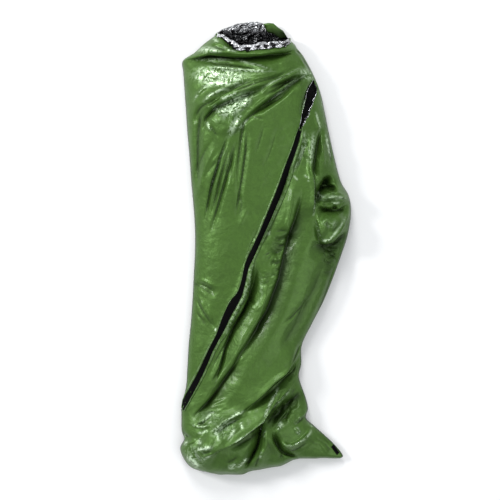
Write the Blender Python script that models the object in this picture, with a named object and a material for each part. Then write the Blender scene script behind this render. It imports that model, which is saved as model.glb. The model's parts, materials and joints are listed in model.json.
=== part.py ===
"""Emergency sleeping bag, laid out on its back on a flat surface.

A thin tube of metallised film, closed at the foot and open at the head, lying as it falls: flat
underneath, puffed up between its folds on top. Its side closure runs across the front, from the right
shoulder down to the lower left edge. +X is the bag's right-hand side seen from above, +Y points to the
head, and +Z is up. The origin is under the middle of the bag, on the surface it lies on.
"""
from collections import namedtuple
from math import cos, exp, hypot, pi, sin, sqrt

import bmesh
import bpy

MM = 0.001

# Driving dimensions, metres
FILM_WALL = 2.0 * MM        # wall of the bag's solid
GAP = 0.3 * MM              # clearance between two pieces
TAPE_THICKNESS = 1.5 * MM
TAB_THICKNESS = 1.5 * MM
EDGE_HEIGHT = 22.0 * MM     # height of the bag's widest line above the surface
EDGE_SHARE = 0.45           # most that height may be of the crown's, where the bag is thin
FLAT_SHARE = 0.72           # share of the half width that lies flat underneath
RISE_POWER = 2.2            # how softly the underside rises from there to the widest line
CROWN_POWER = 2.6           # how boxy the top's cross-section is: 2 is round
COLLAR_RISE = 20.0 * MM     # how far the back of the neck stands up
COLLAR_POWER = 4            # how evenly it does so across the neck
CUFF_RADIUS = 5.0 * MM      # radius of the turned-over neck edge
CORNER_RADIUS = 6.0 * MM    # radius of the collar's turned-in corner
TOP_SPANS = 32              # faces across the top
BOTTOM_SPANS = 8            # faces across the underside

# Cross-sections from the foot to the neck, millimetres: the left and right ends of each, the height of its
# crown, its tilt (above 0 it is higher on the right) and the rows of faces up to the next one.
Section = namedtuple("Section", "left_x left_y right_x right_y crown tilt rows")
SECTIONS = (
    Section(-225, -800, 270, -752, 18, -0.20, 1),
    Section(-268, -782, 276, -738, 62, -0.55, 2),
    Section(-295, -748, 246, -700, 92, -0.55, 2),
    Section(-306, -712, 208, -664, 104, -0.45, 1),
    Section(-292, -680, 172, -632, 108, -0.30, 1),
    Section(-301, -650, 145, -605, 104, -0.15, 1),
    Section(-302, -605, 152, -570, 96, -0.05, 2),
    Section(-300, -555, 142, -528, 90, 0, 2),
    Section(-285, -492, 120, -460, 88, 0, 2),
    Section(-281, -430, 128, -410, 90, 0, 3),
    Section(-276, -345, 130, -345, 94, 0, 3),
    Section(-268, -262, 166, -268, 98, 0, 3),
    Section(-262, -180, 207, -188, 104, 0, 3),
    Section(-258, -100, 240, -108, 110, 0, 3),
    Section(-254, -22, 270, -25, 116, 0, 3),
    Section(-253, 50, 293, 45, 120, 0.05, 3),
    Section(-256, 118, 306, 125, 124, 0.08, 3),
    Section(-262, 190, 298, 190, 128, 0.05, 2),
    Section(-267, 245, 270, 240, 130, 0, 3),
    Section(-273, 330, 247, 325, 134, 0, 4),
    Section(-280, 410, 229, 405, 138, 0, 4),
    Section(-286, 495, 212, 490, 138, 0, 3),
    Section(-291, 570, 196, 560, 132, 0, 3),
    Section(-295, 632, 170, 626, 124, 0, 2),
    Section(-297, 672, 136, 688, 116, 0, 2),
    Section(-255, 702, 114, 716, 108, 0, 2),
    Section(-222, 733, 104, 732, 100, 0, 2),
    Section(-180, 764, 90, 744, 90, 0, 0),
)

# How far the foot's seam and the two neck edges reach past the straight line between their ends,
# millimetres: pairs of x and reach.
FOOT_EDGE = ((-225, 0), (-155, -17), (-85, -23), (-50, -13), (45, -7), (115, 14), (190, 8), (270, 0))
NECK_FRONT = ((-180, 0), (-155, 12), (-120, 0), (-90, -17), (-55, -4), (-5, 10), (55, 16), (90, 0))
NECK_BACK = ((-180, 0), (-140, 24), (-90, 42), (-35, 51), (25, 54), (55, 36), (90, 0))
END_FADE = 110.0            # length over which those edges fade into the body

# Width of the cuff turned out along the front of the neck, and of the corner turned in along its back:
# pairs of place across (-1 left edge, 1 right edge) and width in millimetres.
CUFF = ((-1, 0), (-0.75, 6), (-0.4, 14), (0, 27), (0.55, 27), (0.8, 12), (1, 0))
CORNER = ((-1, 0), (0.2, 0), (0.45, 30), (0.7, 34), (0.9, 8), (1, 0))
CUFF_ARC = (pi / 3, 2 * pi / 3, pi)
CUFF_RUN = (0.5, 1.0)
PLAIN_STEP = 1.6            # millimetres between the rows where an edge isn't turned

# The main folds, millimetres: height above or below the crown, half width, lean (above 0 the flank to the
# right of the fold's direction is the steep one) and the line of its crest or trough, head end first.
Fold = namedtuple("Fold", "name height width lean line")
FOLDS = (
    Fold("cowl roll", 42, 24, 0.35,
         ((-300, 690), (-200, 708), (-90, 708), (-15, 710), (80, 724), (150, 742))),
    Fold("under the cowl", -34, 14, -0.3,
         ((-320, 655), (-200, 672), (-90, 673), (-15, 677), (80, 694), (150, 716))),
    Fold("first chest ridge", 16, 14, 0, ((-262, 650), (-110, 648), (60, 628))),
    Fold("shoulder ridge", 22, 17, 0.2, ((150, 660), (70, 614), (-25, 552))),
    Fold("shoulder trough", -26, 16, 0, ((172, 645), (90, 588), (35, 548), (-60, 478))),
    Fold("chest ridge", 24, 17, 0.3, ((60, 630), (-90, 580), (-165, 550), (-215, 515), (-240, 450))),
    Fold("chest trough", -26, 14, 0, ((10, 596), (-110, 546), (-180, 516), (-212, 478), (-228, 400))),
    Fold("breast puff", 20, 40, 0, ((-165, 520), (-135, 465), (-118, 410))),
    Fold("outer belly trough", -30, 15, 0, ((-132, 425), (-160, 330), (-192, 240), (-226, 70))),
    Fold("inner belly trough", -28, 15, 0, ((-98, 410), (-128, 300), (-160, 195), (-205, 40))),
    Fold("middle trough", -18, 20, 0, ((-70, 450), (-72, 350), (-86, 250), (-112, 90))),
    Fold("left side trough", -24, 18, 0, ((-205, 530), (-236, 480), (-244, 400), (-246, 210))),
    Fold("left hip trough", -16, 16, 0, ((-290, -112), (-230, -138), (-175, -175))),
    Fold("right side crease", -24, 13, 0, ((204, 450), (188, 368), (175, 285), (186, 235))),
    Fold("right side ridge", 16, 13, 0, ((166, 410), (163, 340), (160, 260))),
    Fold("arm hollow", -46, 16, 0, ((232, 285), (206, 243), (180, 215), (178, 165))),
    Fold("arm bump", 42, 28, 0, ((165, 176), (245, 180), (312, 186))),
    Fold("arm flap", 22, 34, 0, ((180, 125), (240, 82), (290, 96))),
    Fold("under the flap", -32, 20, 0, ((165, 10), (235, 8), (292, 40))),
    Fold("closure hem", 12, 14, 0,
         ((104, 385), (36, 212), (-26, 62), (-96, -120), (-165, -262), (-285, -510))),
    Fold("closure trough", -20, 14, 0, ((100, 320), (68, 212), (40, 140), (10, 66), (-40, -30))),
    Fold("hem strip", 12, 13, 0, ((-42, -40), (-64, -130), (-78, -184), (-106, -232), (-145, -310))),
    Fold("left knee trough", -26, 14, 0,
         ((-24, -50), (-50, -160), (-86, -240), (-146, -360), (-205, -500))),
    Fold("left thigh ridge", 22, 18, 0,
         ((34, -40), (26, -140), (-30, -255), (-120, -405), (-245, -570))),
    Fold("thigh trough", -40, 20, 0.25,
         ((145, 250), (116, 140), (84, 0), (64, -119), (20, -228), (-58, -342), (-120, -445))),
    Fold("shin trough", -26, 15, 0.25,
         ((-80, -385), (-121, -446), (-171, -517), (-207, -562), (-275, -615))),
    Fold("thigh ridge", 30, 28, 0, ((110, 40), (92, -110), (44, -245), (-34, -362), (-190, -590))),
    Fold("right thigh trough", -28, 22, 0,
         ((225, 0), (176, -140), (138, -212), (98, -292), (30, -400))),
    Fold("right thigh ridge", 20, 17, 0, ((255, -30), (206, -155), (135, -300))),
    Fold("ankle overlap", 28, 26, -0.5,
         ((140, -330), (115, -372), (69, -442), (28, -475), (-13, -517), (-110, -610))),
    Fold("under the overlap", -18, 13, 0,
         ((140, -385), (88, -458), (42, -497), (0, -538), (-60, -595))),
    Fold("heel ridge", 28, 15, 0,
         ((112, -474), (57, -536), (12, -582), (-31, -628), (-95, -673), (-185, -725))),
    Fold("shin ridge", 16, 15, 0, ((-200, -662), (-139, -614), (-60, -578))),
    Fold("ankle hollow", -28, 22, 0, ((150, -505), (110, -540), (60, -588), (5, -655))),
    Fold("instep trough", -38, 15, 0, ((-22, -625), (-32, -724), (-82, -800))),
    Fold("instep ridge", 22, 13, 0, ((6, -645), (-4, -720), (-44, -795))),
    Fold("toe trough", -24, 13, 0, ((18, -650), (42, -712), (64, -738), (140, -760))),
    Fold("toe crease", 20, 14, 0, ((38, -690), (88, -710), (131, -690), (170, -640))),
    Fold("heel puff", 22, 50, 0, ((-240, -690), (-165, -735))),
)
FOLD_TAPER = 0.25           # share of a fold's length over which it dies away at each end
FOLD_CREST = 1.6            # how sharp a crest is: 1 is a crease, 2 is round
FOLD_REACH = 3              # half widths from its line at which a fold has died away
FOLD_EDGE_POWER = 8         # how near the bag's edge the folds reach before they die away

# The side closure, millimetres: the middle of the tape and the width of it that shows between its hems,
# and the place where the closure stands open.
TapeRow = namedtuple("TapeRow", "x y width")
CLOSURE_TAPE = (
    TapeRow(134, 458, 8), TapeRow(118, 414, 14), TapeRow(101, 356, 16), TapeRow(78, 292, 18),
    TapeRow(51, 212, 21), TapeRow(22, 140, 21), TapeRow(-13, 58, 19), TapeRow(-53, -30, 19),
    TapeRow(-68, -66, 16), TapeRow(-80, -119, 15), TapeRow(-93, -160, 19), TapeRow(-112, -190, 28),
    TapeRow(-134, -230, 26), TapeRow(-152, -272, 23), TapeRow(-168, -308, 17), TapeRow(-194, -358, 16),
    TapeRow(-214, -403, 18), TapeRow(-234, -446, 19), TapeRow(-256, -488, 20), TapeRow(-280, -532, 21),
    TapeRow(-300, -572, 18),
)
SlitRow = namedtuple("SlitRow", "left_x right_x y")
SLIT = (
    SlitRow(129, 131, 424), SlitRow(128, 135, 442), SlitRow(131, 148, 467), SlitRow(135, 158, 493),
    SlitRow(141, 167, 518), SlitRow(149, 176, 541), SlitRow(163, 187, 568), SlitRow(172, 183, 588),
    SlitRow(176, 179, 600),
)
OPEN_HALF_MARGIN = 6.0      # how far the open tape half reaches under the film beside the opening
FOOT_TAB = ((243, -699), (264, -729), (255, -738), (234, -708))

# Colour, roughness and metallic value of each material
MATERIALS = {
    "green_film": ((0.085, 0.215, 0.060, 1), 0.30, 0.25),
    "black_tape": ((0.010, 0.010, 0.011, 1), 0.70, 0.0),
    "black_tab": ((0.012, 0.012, 0.012, 1), 0.60, 0.0),
}


def smooth(share):
    share = min(max(share, 0.0), 1.0)
    return share * share * (3 - 2 * share)


def read_table(pairs, place):
    """Value at a place in a table of (place, value) pairs, eased between its rows."""
    if place <= pairs[0][0]:
        return pairs[0][1]
    for (start, first), (end, last) in zip(pairs, pairs[1:]):
        if place <= end:
            return first + (last - first) * smooth((place - start) / (end - start))
    return pairs[-1][1]


def catmull_rom(before, start, end, after, share):
    """Smooth value between start and end, which lean towards their neighbours."""
    return 0.5 * (
        2 * start
        + (end - before) * share
        + (2 * before - 5 * start + 4 * end - after) * share ** 2
        + (3 * start - before - 3 * end + after) * share ** 3
    )


def section_rows():
    """Every row of the surface, foot to neck, worked out between the sections."""
    rows = []
    last = len(SECTIONS) - 1
    for index, section in enumerate(SECTIONS[:-1]):
        around = (SECTIONS[max(index - 1, 0)], section, SECTIONS[index + 1], SECTIONS[min(index + 2, last)])
        for step in range(section.rows):
            share = step / section.rows
            rows.append(Section(*(catmull_rom(*values, share) for values in zip(*around))))
    rows.append(SECTIONS[-1])
    return rows


def nearest_on_line(line, x, y):
    """Signed distance from a line (right of it is above 0) and the share of its length at that place."""
    lengths = [hypot(b[0] - a[0], b[1] - a[1]) for a, b in zip(line, line[1:])]
    best = (1e9, 0.0)
    run = 0.0
    for (start, end, length) in zip(line, line[1:], lengths):
        along_x = (end[0] - start[0]) / length
        along_y = (end[1] - start[1]) / length
        reach = min(max((x - start[0]) * along_x + (y - start[1]) * along_y, 0.0), length)
        off_x = x - start[0] - along_x * reach
        off_y = y - start[1] - along_y * reach
        distance = hypot(off_x, off_y)
        if distance < abs(best[0]):
            side = 1 if off_x * along_y - off_y * along_x > 0 else -1
            best = (side * distance, (run + reach) / sum(lengths))
        run += length
    return best


def fold_height(x, y):
    """Sum of all the folds at one place, millimetres."""
    total = 0.0
    for fold in FOLDS:
        distance, share = nearest_on_line(fold.line, x, y)
        side = 1 if distance > 0 else -1
        width = fold.width * (1 - fold.lean * side)
        if abs(distance) < FOLD_REACH * width:
            taper = smooth(min(share, 1 - share) / FOLD_TAPER)
            total += fold.height * taper * exp(-(abs(distance / width) ** FOLD_CREST))
    return total


def edge_height(row):
    return min(EDGE_HEIGHT / MM, EDGE_SHARE * row.crown)


def end_reach(row, across, neck_edge):
    """How far a row bows along the bag near the foot's seam or a neck edge."""
    foot, neck = SECTIONS[0], SECTIONS[-1]
    share = (across + 1) / 2
    middle = (row.left_y + row.right_y) / 2
    foot_middle = (foot.left_y + foot.right_y) / 2
    neck_middle = (neck.left_y + neck.right_y) / 2
    foot_x = foot.left_x + (foot.right_x - foot.left_x) * share
    neck_x = neck.left_x + (neck.right_x - neck.left_x) * share
    near_foot = smooth(1 - (middle - foot_middle) / END_FADE)
    near_neck = smooth(1 - (neck_middle - middle) / END_FADE)
    return near_foot * read_table(FOOT_EDGE, foot_x) + near_neck * read_table(neck_edge, neck_x)


def plan_point(row, across, neck_edge):
    share = (across + 1) / 2
    x = row.left_x + (row.right_x - row.left_x) * share
    y = row.left_y + (row.right_y - row.left_y) * share
    return x, y + end_reach(row, across, neck_edge)


def top_point(row, across):
    """A point of the top, millimetres."""
    x, y = plan_point(row, across, NECK_FRONT)
    edge = edge_height(row)
    crown = sqrt(max(1 - abs(across) ** CROWN_POWER, 0.0)) * (1 + row.tilt * across)
    inside = 1 - abs(across) ** FOLD_EDGE_POWER
    low = sqrt(row.crown / max(section.crown for section in SECTIONS))
    return x, y, edge + (row.crown - edge) * crown + fold_height(x, y) * inside * low


def bottom_point(row, across):
    """A point of the underside, millimetres: flat on the surface but for its rising edges and collar."""
    x, y = plan_point(row, across, NECK_BACK)
    rise = max(abs(across) - FLAT_SHARE, 0.0) / (1 - FLAT_SHARE)
    collar = smooth((y - SECTIONS[-3].left_y) / END_FADE) * COLLAR_RISE / MM
    return x, y, edge_height(row) * rise ** RISE_POWER + collar * (1 - abs(across) ** COLLAR_POWER)


def back_along(column, distance):
    """The point of a column of points that lies a distance back from its last one."""
    for start, end in zip(reversed(column), reversed(column[:-1])):
        length = hypot(end[0] - start[0], end[1] - start[1], end[2] - start[2])
        if distance <= length:
            share = distance / length
            return tuple(a + (b - a) * share for a, b in zip(start, end))
        distance -= length
    return column[0]


def turned_edge(column, width, radius):
    """The end of a column rolled up and over, then laid back along the column for a width."""
    x, y, z = column[-1]
    ease = smooth(width / (2 * radius))
    radius *= ease
    points = []
    for angle in CUFF_ARC:
        points.append((x, y + radius * sin(angle), z + radius * (1 - cos(angle))))
    for share in CUFF_RUN:
        back = back_along(column, width * share)
        points.append((back[0], back[1], back[2] + 2 * radius))
    plain = [(x, y + PLAIN_STEP * (step + 1), z) for step in range(len(points))]
    return [tuple(a + (b - a) * ease for a, b in zip(flat, rolled)) for flat, rolled in zip(plain, points)]


def across_places(spans):
    """Places across the bag from -1 to 1, closer together near its edges."""
    return [sin(pi / 2 * (2 * index / spans - 1)) for index in range(spans + 1)]


def shell_loops():
    """Closed loops of points round the bag, from the foot's seam to the end of the turned neck edge."""
    rows = section_rows()
    top = across_places(TOP_SPANS)
    bottom = across_places(BOTTOM_SPANS)[-2:0:-1]
    columns = []
    for across in top:
        column = [top_point(row, across) for row in rows]
        column += turned_edge(column, read_table(CUFF, across), CUFF_RADIUS / MM)
        columns.append(column)
    for across in bottom:
        column = [bottom_point(row, across) for row in rows]
        column += turned_edge(column, read_table(CORNER, across), CORNER_RADIUS / MM)
        columns.append(column)
    return list(zip(*columns))


def close_foot(bm, loop):
    """Join the top and the underside along the foot's seam, from left to right."""
    top = loop[:TOP_SPANS + 1]
    bottom = [loop[0]] + list(reversed(loop[TOP_SPANS + 1:])) + [loop[TOP_SPANS]]
    upper, lower = 0, 0
    while upper < len(top) - 1 or lower < len(bottom) - 1:
        upper_next = top[upper + 1].co.x if upper < len(top) - 1 else 1e9
        lower_next = bottom[lower + 1].co.x if lower < len(bottom) - 1 else 1e9
        if upper_next <= lower_next:
            corners = (top[upper], bottom[lower], top[upper + 1])
            upper += 1
        else:
            corners = (top[upper], bottom[lower], bottom[lower + 1])
            lower += 1
        if len(set(corners)) == 3:
            bm.faces.new(corners)


def surface_mesh():
    """The outside of the film as one open surface, its faces pointing out."""
    bm = bmesh.new()
    loops = [[bm.verts.new([value * MM for value in point]) for point in loop] for loop in shell_loops()]
    for lower, upper in zip(loops, loops[1:]):
        for index in range(len(lower)):
            after = (index + 1) % len(lower)
            bm.faces.new((lower[index], lower[after], upper[after], upper[index]))
    close_foot(bm, loops[0])
    bmesh.ops.triangulate(bm, faces=bm.faces)
    mesh = bpy.data.meshes.new("bag_surface")
    bm.to_mesh(mesh)
    bm.free()
    mesh.shade_smooth()
    mesh.materials.append(None)
    return mesh


def material(name):
    colour, roughness, metallic = MATERIALS[name]
    made = bpy.data.materials.new(name)
    made.use_nodes = True
    shader = made.node_tree.nodes["Principled BSDF"]
    shader.inputs["Base Color"].default_value = colour
    shader.inputs["Roughness"].default_value = roughness
    shader.inputs["Metallic"].default_value = metallic
    return made


def add_object(name, mesh, finish=None):
    made = bpy.data.objects.new(name, mesh)
    bpy.context.collection.objects.link(made)
    if finish:
        made.material_slots[0].link = "OBJECT"
        made.material_slots[0].material = finish
    return made


def prism(name, outline, low, high):
    """A hidden upright cutter with the given outline in millimetres."""
    bm = bmesh.new()
    base = bm.faces.new([bm.verts.new((x * MM, y * MM, low)) for x, y in outline])
    raised = bmesh.ops.extrude_face_region(bm, geom=[base])["geom"]
    for vertex in (item for item in raised if isinstance(item, bmesh.types.BMVert)):
        vertex.co.z = high
    bmesh.ops.recalc_face_normals(bm, faces=bm.faces)
    mesh = bpy.data.meshes.new(name)
    bm.to_mesh(mesh)
    bm.free()
    cutter = add_object(name, mesh)
    cutter.hide_render = True
    cutter.display_type = "WIRE"
    return cutter


def add_boolean(target, cutter, operation):
    cut = target.modifiers.new(cutter.name, "BOOLEAN")
    cut.operation = operation
    cut.solver = "EXACT"
    cut.object = cutter


def add_wall(target, thickness, offset):
    wall = target.modifiers.new("wall", "SOLIDIFY")
    wall.thickness = thickness
    wall.offset = offset
    wall.use_rim = True


def fitted_piece(name, mesh, finish, cutter, lift, thickness):
    """A thin piece that follows the bag's surface within a cutter's outline: above it, or under it where
    the lift is below 0."""
    piece = add_object(name, mesh, finish)
    raise_it = piece.modifiers.new("lift", "DISPLACE")
    raise_it.mid_level = 0
    raise_it.strength = lift
    add_wall(piece, thickness, 1 if lift > 0 else -1)
    add_boolean(piece, cutter, "INTERSECT")
    return piece


def tape_outline():
    """The outline of the tape, seen from above."""
    left, right = [], []
    for index, row in enumerate(CLOSURE_TAPE):
        before = CLOSURE_TAPE[max(index - 1, 0)]
        after = CLOSURE_TAPE[min(index + 1, len(CLOSURE_TAPE) - 1)]
        length = hypot(after.x - before.x, after.y - before.y)
        side_x = -(after.y - before.y) / length * row.width / 2
        side_y = (after.x - before.x) / length * row.width / 2
        left.append((row.x + side_x, row.y + side_y))
        right.append((row.x - side_x, row.y - side_y))
    return left + right[::-1]


def slit_outline(margin):
    """The outline of the open stretch of the closure, wider by a margin on both sides."""
    left = [(row.left_x - margin, row.y) for row in SLIT]
    right = [(row.right_x + margin, row.y) for row in reversed(SLIT)]
    return left + right


def main():
    for old in list(bpy.data.objects):
        bpy.data.objects.remove(old, do_unlink=True)
    above_edge = EDGE_HEIGHT + 1 * MM
    under_top = 40 * MM
    over_all = 400 * MM
    mesh = surface_mesh()

    shell = add_object("bag_shell", mesh, material("green_film"))
    add_wall(shell, FILM_WALL, -1)
    add_boolean(shell, prism("slit_cutter", slit_outline(0), under_top, over_all), "DIFFERENCE")

    band = prism("tape_cutter", tape_outline(), above_edge, over_all)
    fitted_piece("closure_tape", mesh, material("black_tape"), band, GAP, TAPE_THICKNESS)

    open_band = prism("open_half_cutter", slit_outline(OPEN_HALF_MARGIN), under_top, over_all)
    lift = -(FILM_WALL + GAP)
    fitted_piece("closure_tape_open_half", mesh, material("black_tape"), open_band, lift, TAPE_THICKNESS)

    tab_prism = prism("tab_cutter", FOOT_TAB, above_edge, over_all)
    fitted_piece("foot_tab", mesh, material("black_tab"), tab_prism, GAP, TAB_THICKNESS)


main()
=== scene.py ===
"""Emergency sleeping bag: the finished look of every piece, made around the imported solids.

The bag lies on its back, as its solids do. Its film is one thin closed sheet: green outside, silver
inside, with the main folds of the solid, finer creases, and crumpled patches. The closure tape, its
hems, the open half of the closure and the foot tab lie on that film.
"""

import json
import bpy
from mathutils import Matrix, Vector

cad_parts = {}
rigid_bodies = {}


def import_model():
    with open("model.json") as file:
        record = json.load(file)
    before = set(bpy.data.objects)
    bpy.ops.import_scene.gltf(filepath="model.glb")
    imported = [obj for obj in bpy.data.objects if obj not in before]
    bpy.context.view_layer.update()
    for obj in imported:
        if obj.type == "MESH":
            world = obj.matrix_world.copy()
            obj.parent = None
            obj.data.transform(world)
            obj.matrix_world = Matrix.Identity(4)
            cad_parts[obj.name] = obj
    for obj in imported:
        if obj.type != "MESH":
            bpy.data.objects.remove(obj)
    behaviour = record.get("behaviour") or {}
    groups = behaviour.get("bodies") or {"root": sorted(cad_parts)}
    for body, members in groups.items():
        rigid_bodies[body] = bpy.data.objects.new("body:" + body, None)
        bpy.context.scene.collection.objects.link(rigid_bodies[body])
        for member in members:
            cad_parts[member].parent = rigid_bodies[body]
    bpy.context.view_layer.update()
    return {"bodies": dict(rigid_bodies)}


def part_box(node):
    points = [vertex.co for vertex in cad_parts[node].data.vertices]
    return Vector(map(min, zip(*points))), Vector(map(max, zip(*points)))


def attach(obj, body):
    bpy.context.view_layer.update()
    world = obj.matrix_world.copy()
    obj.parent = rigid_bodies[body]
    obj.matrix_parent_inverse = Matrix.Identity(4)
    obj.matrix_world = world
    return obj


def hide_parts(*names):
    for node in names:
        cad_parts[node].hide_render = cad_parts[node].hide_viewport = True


bl_info = {
    "name": "Emergency Sleeping Bag",
    "version": (1, 0, 0),
    "blender": (4, 5, 0),
    "location": "View3D > Sidebar > Bag",
    "description": "Builds a green metallised film sleeping bag, laid out on its back",
    "category": "Add Mesh",
}

from collections import namedtuple
from math import cos, hypot, pi, radians, sin

import bmesh
import bpy
import numpy as np
from bpy.props import FloatProperty, FloatVectorProperty, IntProperty, PointerProperty
from bpy.types import Operator, Panel, PropertyGroup
from mathutils import Matrix, Vector
from mathutils.bvhtree import BVHTree

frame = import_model()
BODY = next(iter(frame["bodies"]))
MM = 0.001
DOWN = Vector((0, 0, -1))


def filled(kind, rows):
    """A table's rows as named tuples. A kind that ends in a line takes its points as x, y, x, y, ..."""
    if kind._fields[-1] != "line":
        return tuple(kind(*row) for row in rows)
    plain = len(kind._fields) - 1
    return tuple(kind(*row[:plain], tuple(zip(row[plain::2], row[plain + 1::2]))) for row in rows)


# ---------------- The bag's shape, millimetres, the same tables as its solid ----------------
Section = namedtuple("Section", "left_x left_y right_x right_y crown tilt")
SECTIONS = filled(Section, (
    (-225, -800, 270, -752, 18, -0.2), (-268, -782, 276, -738, 62, -0.55),
    (-295, -748, 246, -700, 92, -0.55), (-306, -712, 208, -664, 104, -0.45),
    (-292, -680, 172, -632, 108, -0.3), (-301, -650, 145, -605, 104, -0.15),
    (-302, -605, 152, -570, 96, -0.05), (-300, -555, 142, -528, 90, 0), (-285, -492, 120, -460, 88, 0),
    (-281, -430, 128, -410, 90, 0), (-276, -345, 130, -345, 94, 0), (-268, -262, 166, -268, 98, 0),
    (-262, -180, 207, -188, 104, 0), (-258, -100, 240, -108, 110, 0), (-254, -22, 270, -25, 116, 0),
    (-253, 50, 293, 45, 120, 0.05), (-256, 118, 306, 125, 124, 0.08), (-262, 190, 298, 190, 128, 0.05),
    (-267, 245, 270, 240, 130, 0), (-273, 330, 247, 325, 134, 0), (-280, 410, 229, 405, 138, 0),
    (-286, 495, 212, 490, 138, 0), (-291, 570, 196, 560, 132, 0), (-295, 632, 170, 626, 124, 0),
    (-297, 672, 136, 688, 116, 0), (-255, 702, 114, 716, 108, 0), (-222, 733, 104, 732, 100, 0),
    (-180, 764, 90, 744, 90, 0),
))
EDGE_HEIGHT = 22.0          # of the side edges over the floor, but no more than EDGE_SHARE of the crown
EDGE_SHARE = 0.45
FLAT_SHARE = 0.72           # of the underside's half width lies on the floor
RISE_POWER = 2.2
CROWN_POWER = 3.1
COLLAR_RISE = 20.0          # of the back of the neck over the floor
COLLAR_POWER = 4
COLLAR_START = SECTIONS[-3].left_y
END_FADE = 110.0            # length over which the bowed ends and the collar come in
EVEN_SHARE = 0.86           # of the half width has even spans, which then close up towards the edge

# How far the foot's seam and the neck's front and back edges bow: pairs of x and reach
FOOT_EDGE = ((-225, 0), (-155, -17), (-85, -23), (-50, -13), (45, -7), (115, 14), (190, 8), (270, 0))
NECK_FRONT = ((-180, 0), (-155, -6), (-120, -26), (-90, -42), (-55, -38), (-5, -24), (55, -16), (90, 0))
NECK_BACK = ((-180, 0), (-140, 24), (-90, 42), (-35, 51), (25, 54), (55, 36), (90, 0))

# Width of the cuff turned out in front and of the corner turned in behind: pairs of place and width
CUFF = ((-1, 4), (-0.64, 14), (-0.35, 17), (-0.2, 27), (0.2, 34), (0.4, 29), (0.7, 26), (0.9, 16), (1, 2))
CORNER = ((-1, 0), (0.2, 0), (0.45, 30), (0.7, 34), (0.9, 8), (1, 0))
CUFF_RADIUS, CUFF_RIPPLE, CUFF_TEETH = 4.5, 1.2, 8.0
CORNER_RADIUS, CORNER_RIPPLE = 6.0, 0.8
TURN_ARC_STEPS = 5
TURN_RUN_STEPS = 6
TURN_SAG = 0.45             # how much lower a turned edge lies at its end, as a share of its roll
PLAIN_STEP = 0.9            # between the rows where an edge isn't turned
PLEAT_PITCH = 34.0          # between the cuff's pleats, which are painted shade
PLEAT_WANDER = 6            # how far a pleat is off its place, in waves of WANDER_WAVE
WANDER_WAVE = 23
PLEAT_UNEVEN = 0.15         # how much longer or shorter a pleat is, in waves of UNEVEN_WAVE
UNEVEN_WAVE = 13
PLEATED = (-104, 96)        # x of the pleated stretch of the cuff
TUCKED_FROM = -156          # x of the start of the stretch beside it that is painted shade
INSIDE_SHADE = 0.93         # how dark the painted shade inside is, beyond the neck
INSIDE_START = 560          # y where that shade begins, to be full INSIDE_RUN further
INSIDE_RUN = 60
COLLAR_LIGHT = 14           # width of the collar's edge left light, whose painted shade darkens over COLLAR_RUN
COLLAR_RUN = 30

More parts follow.
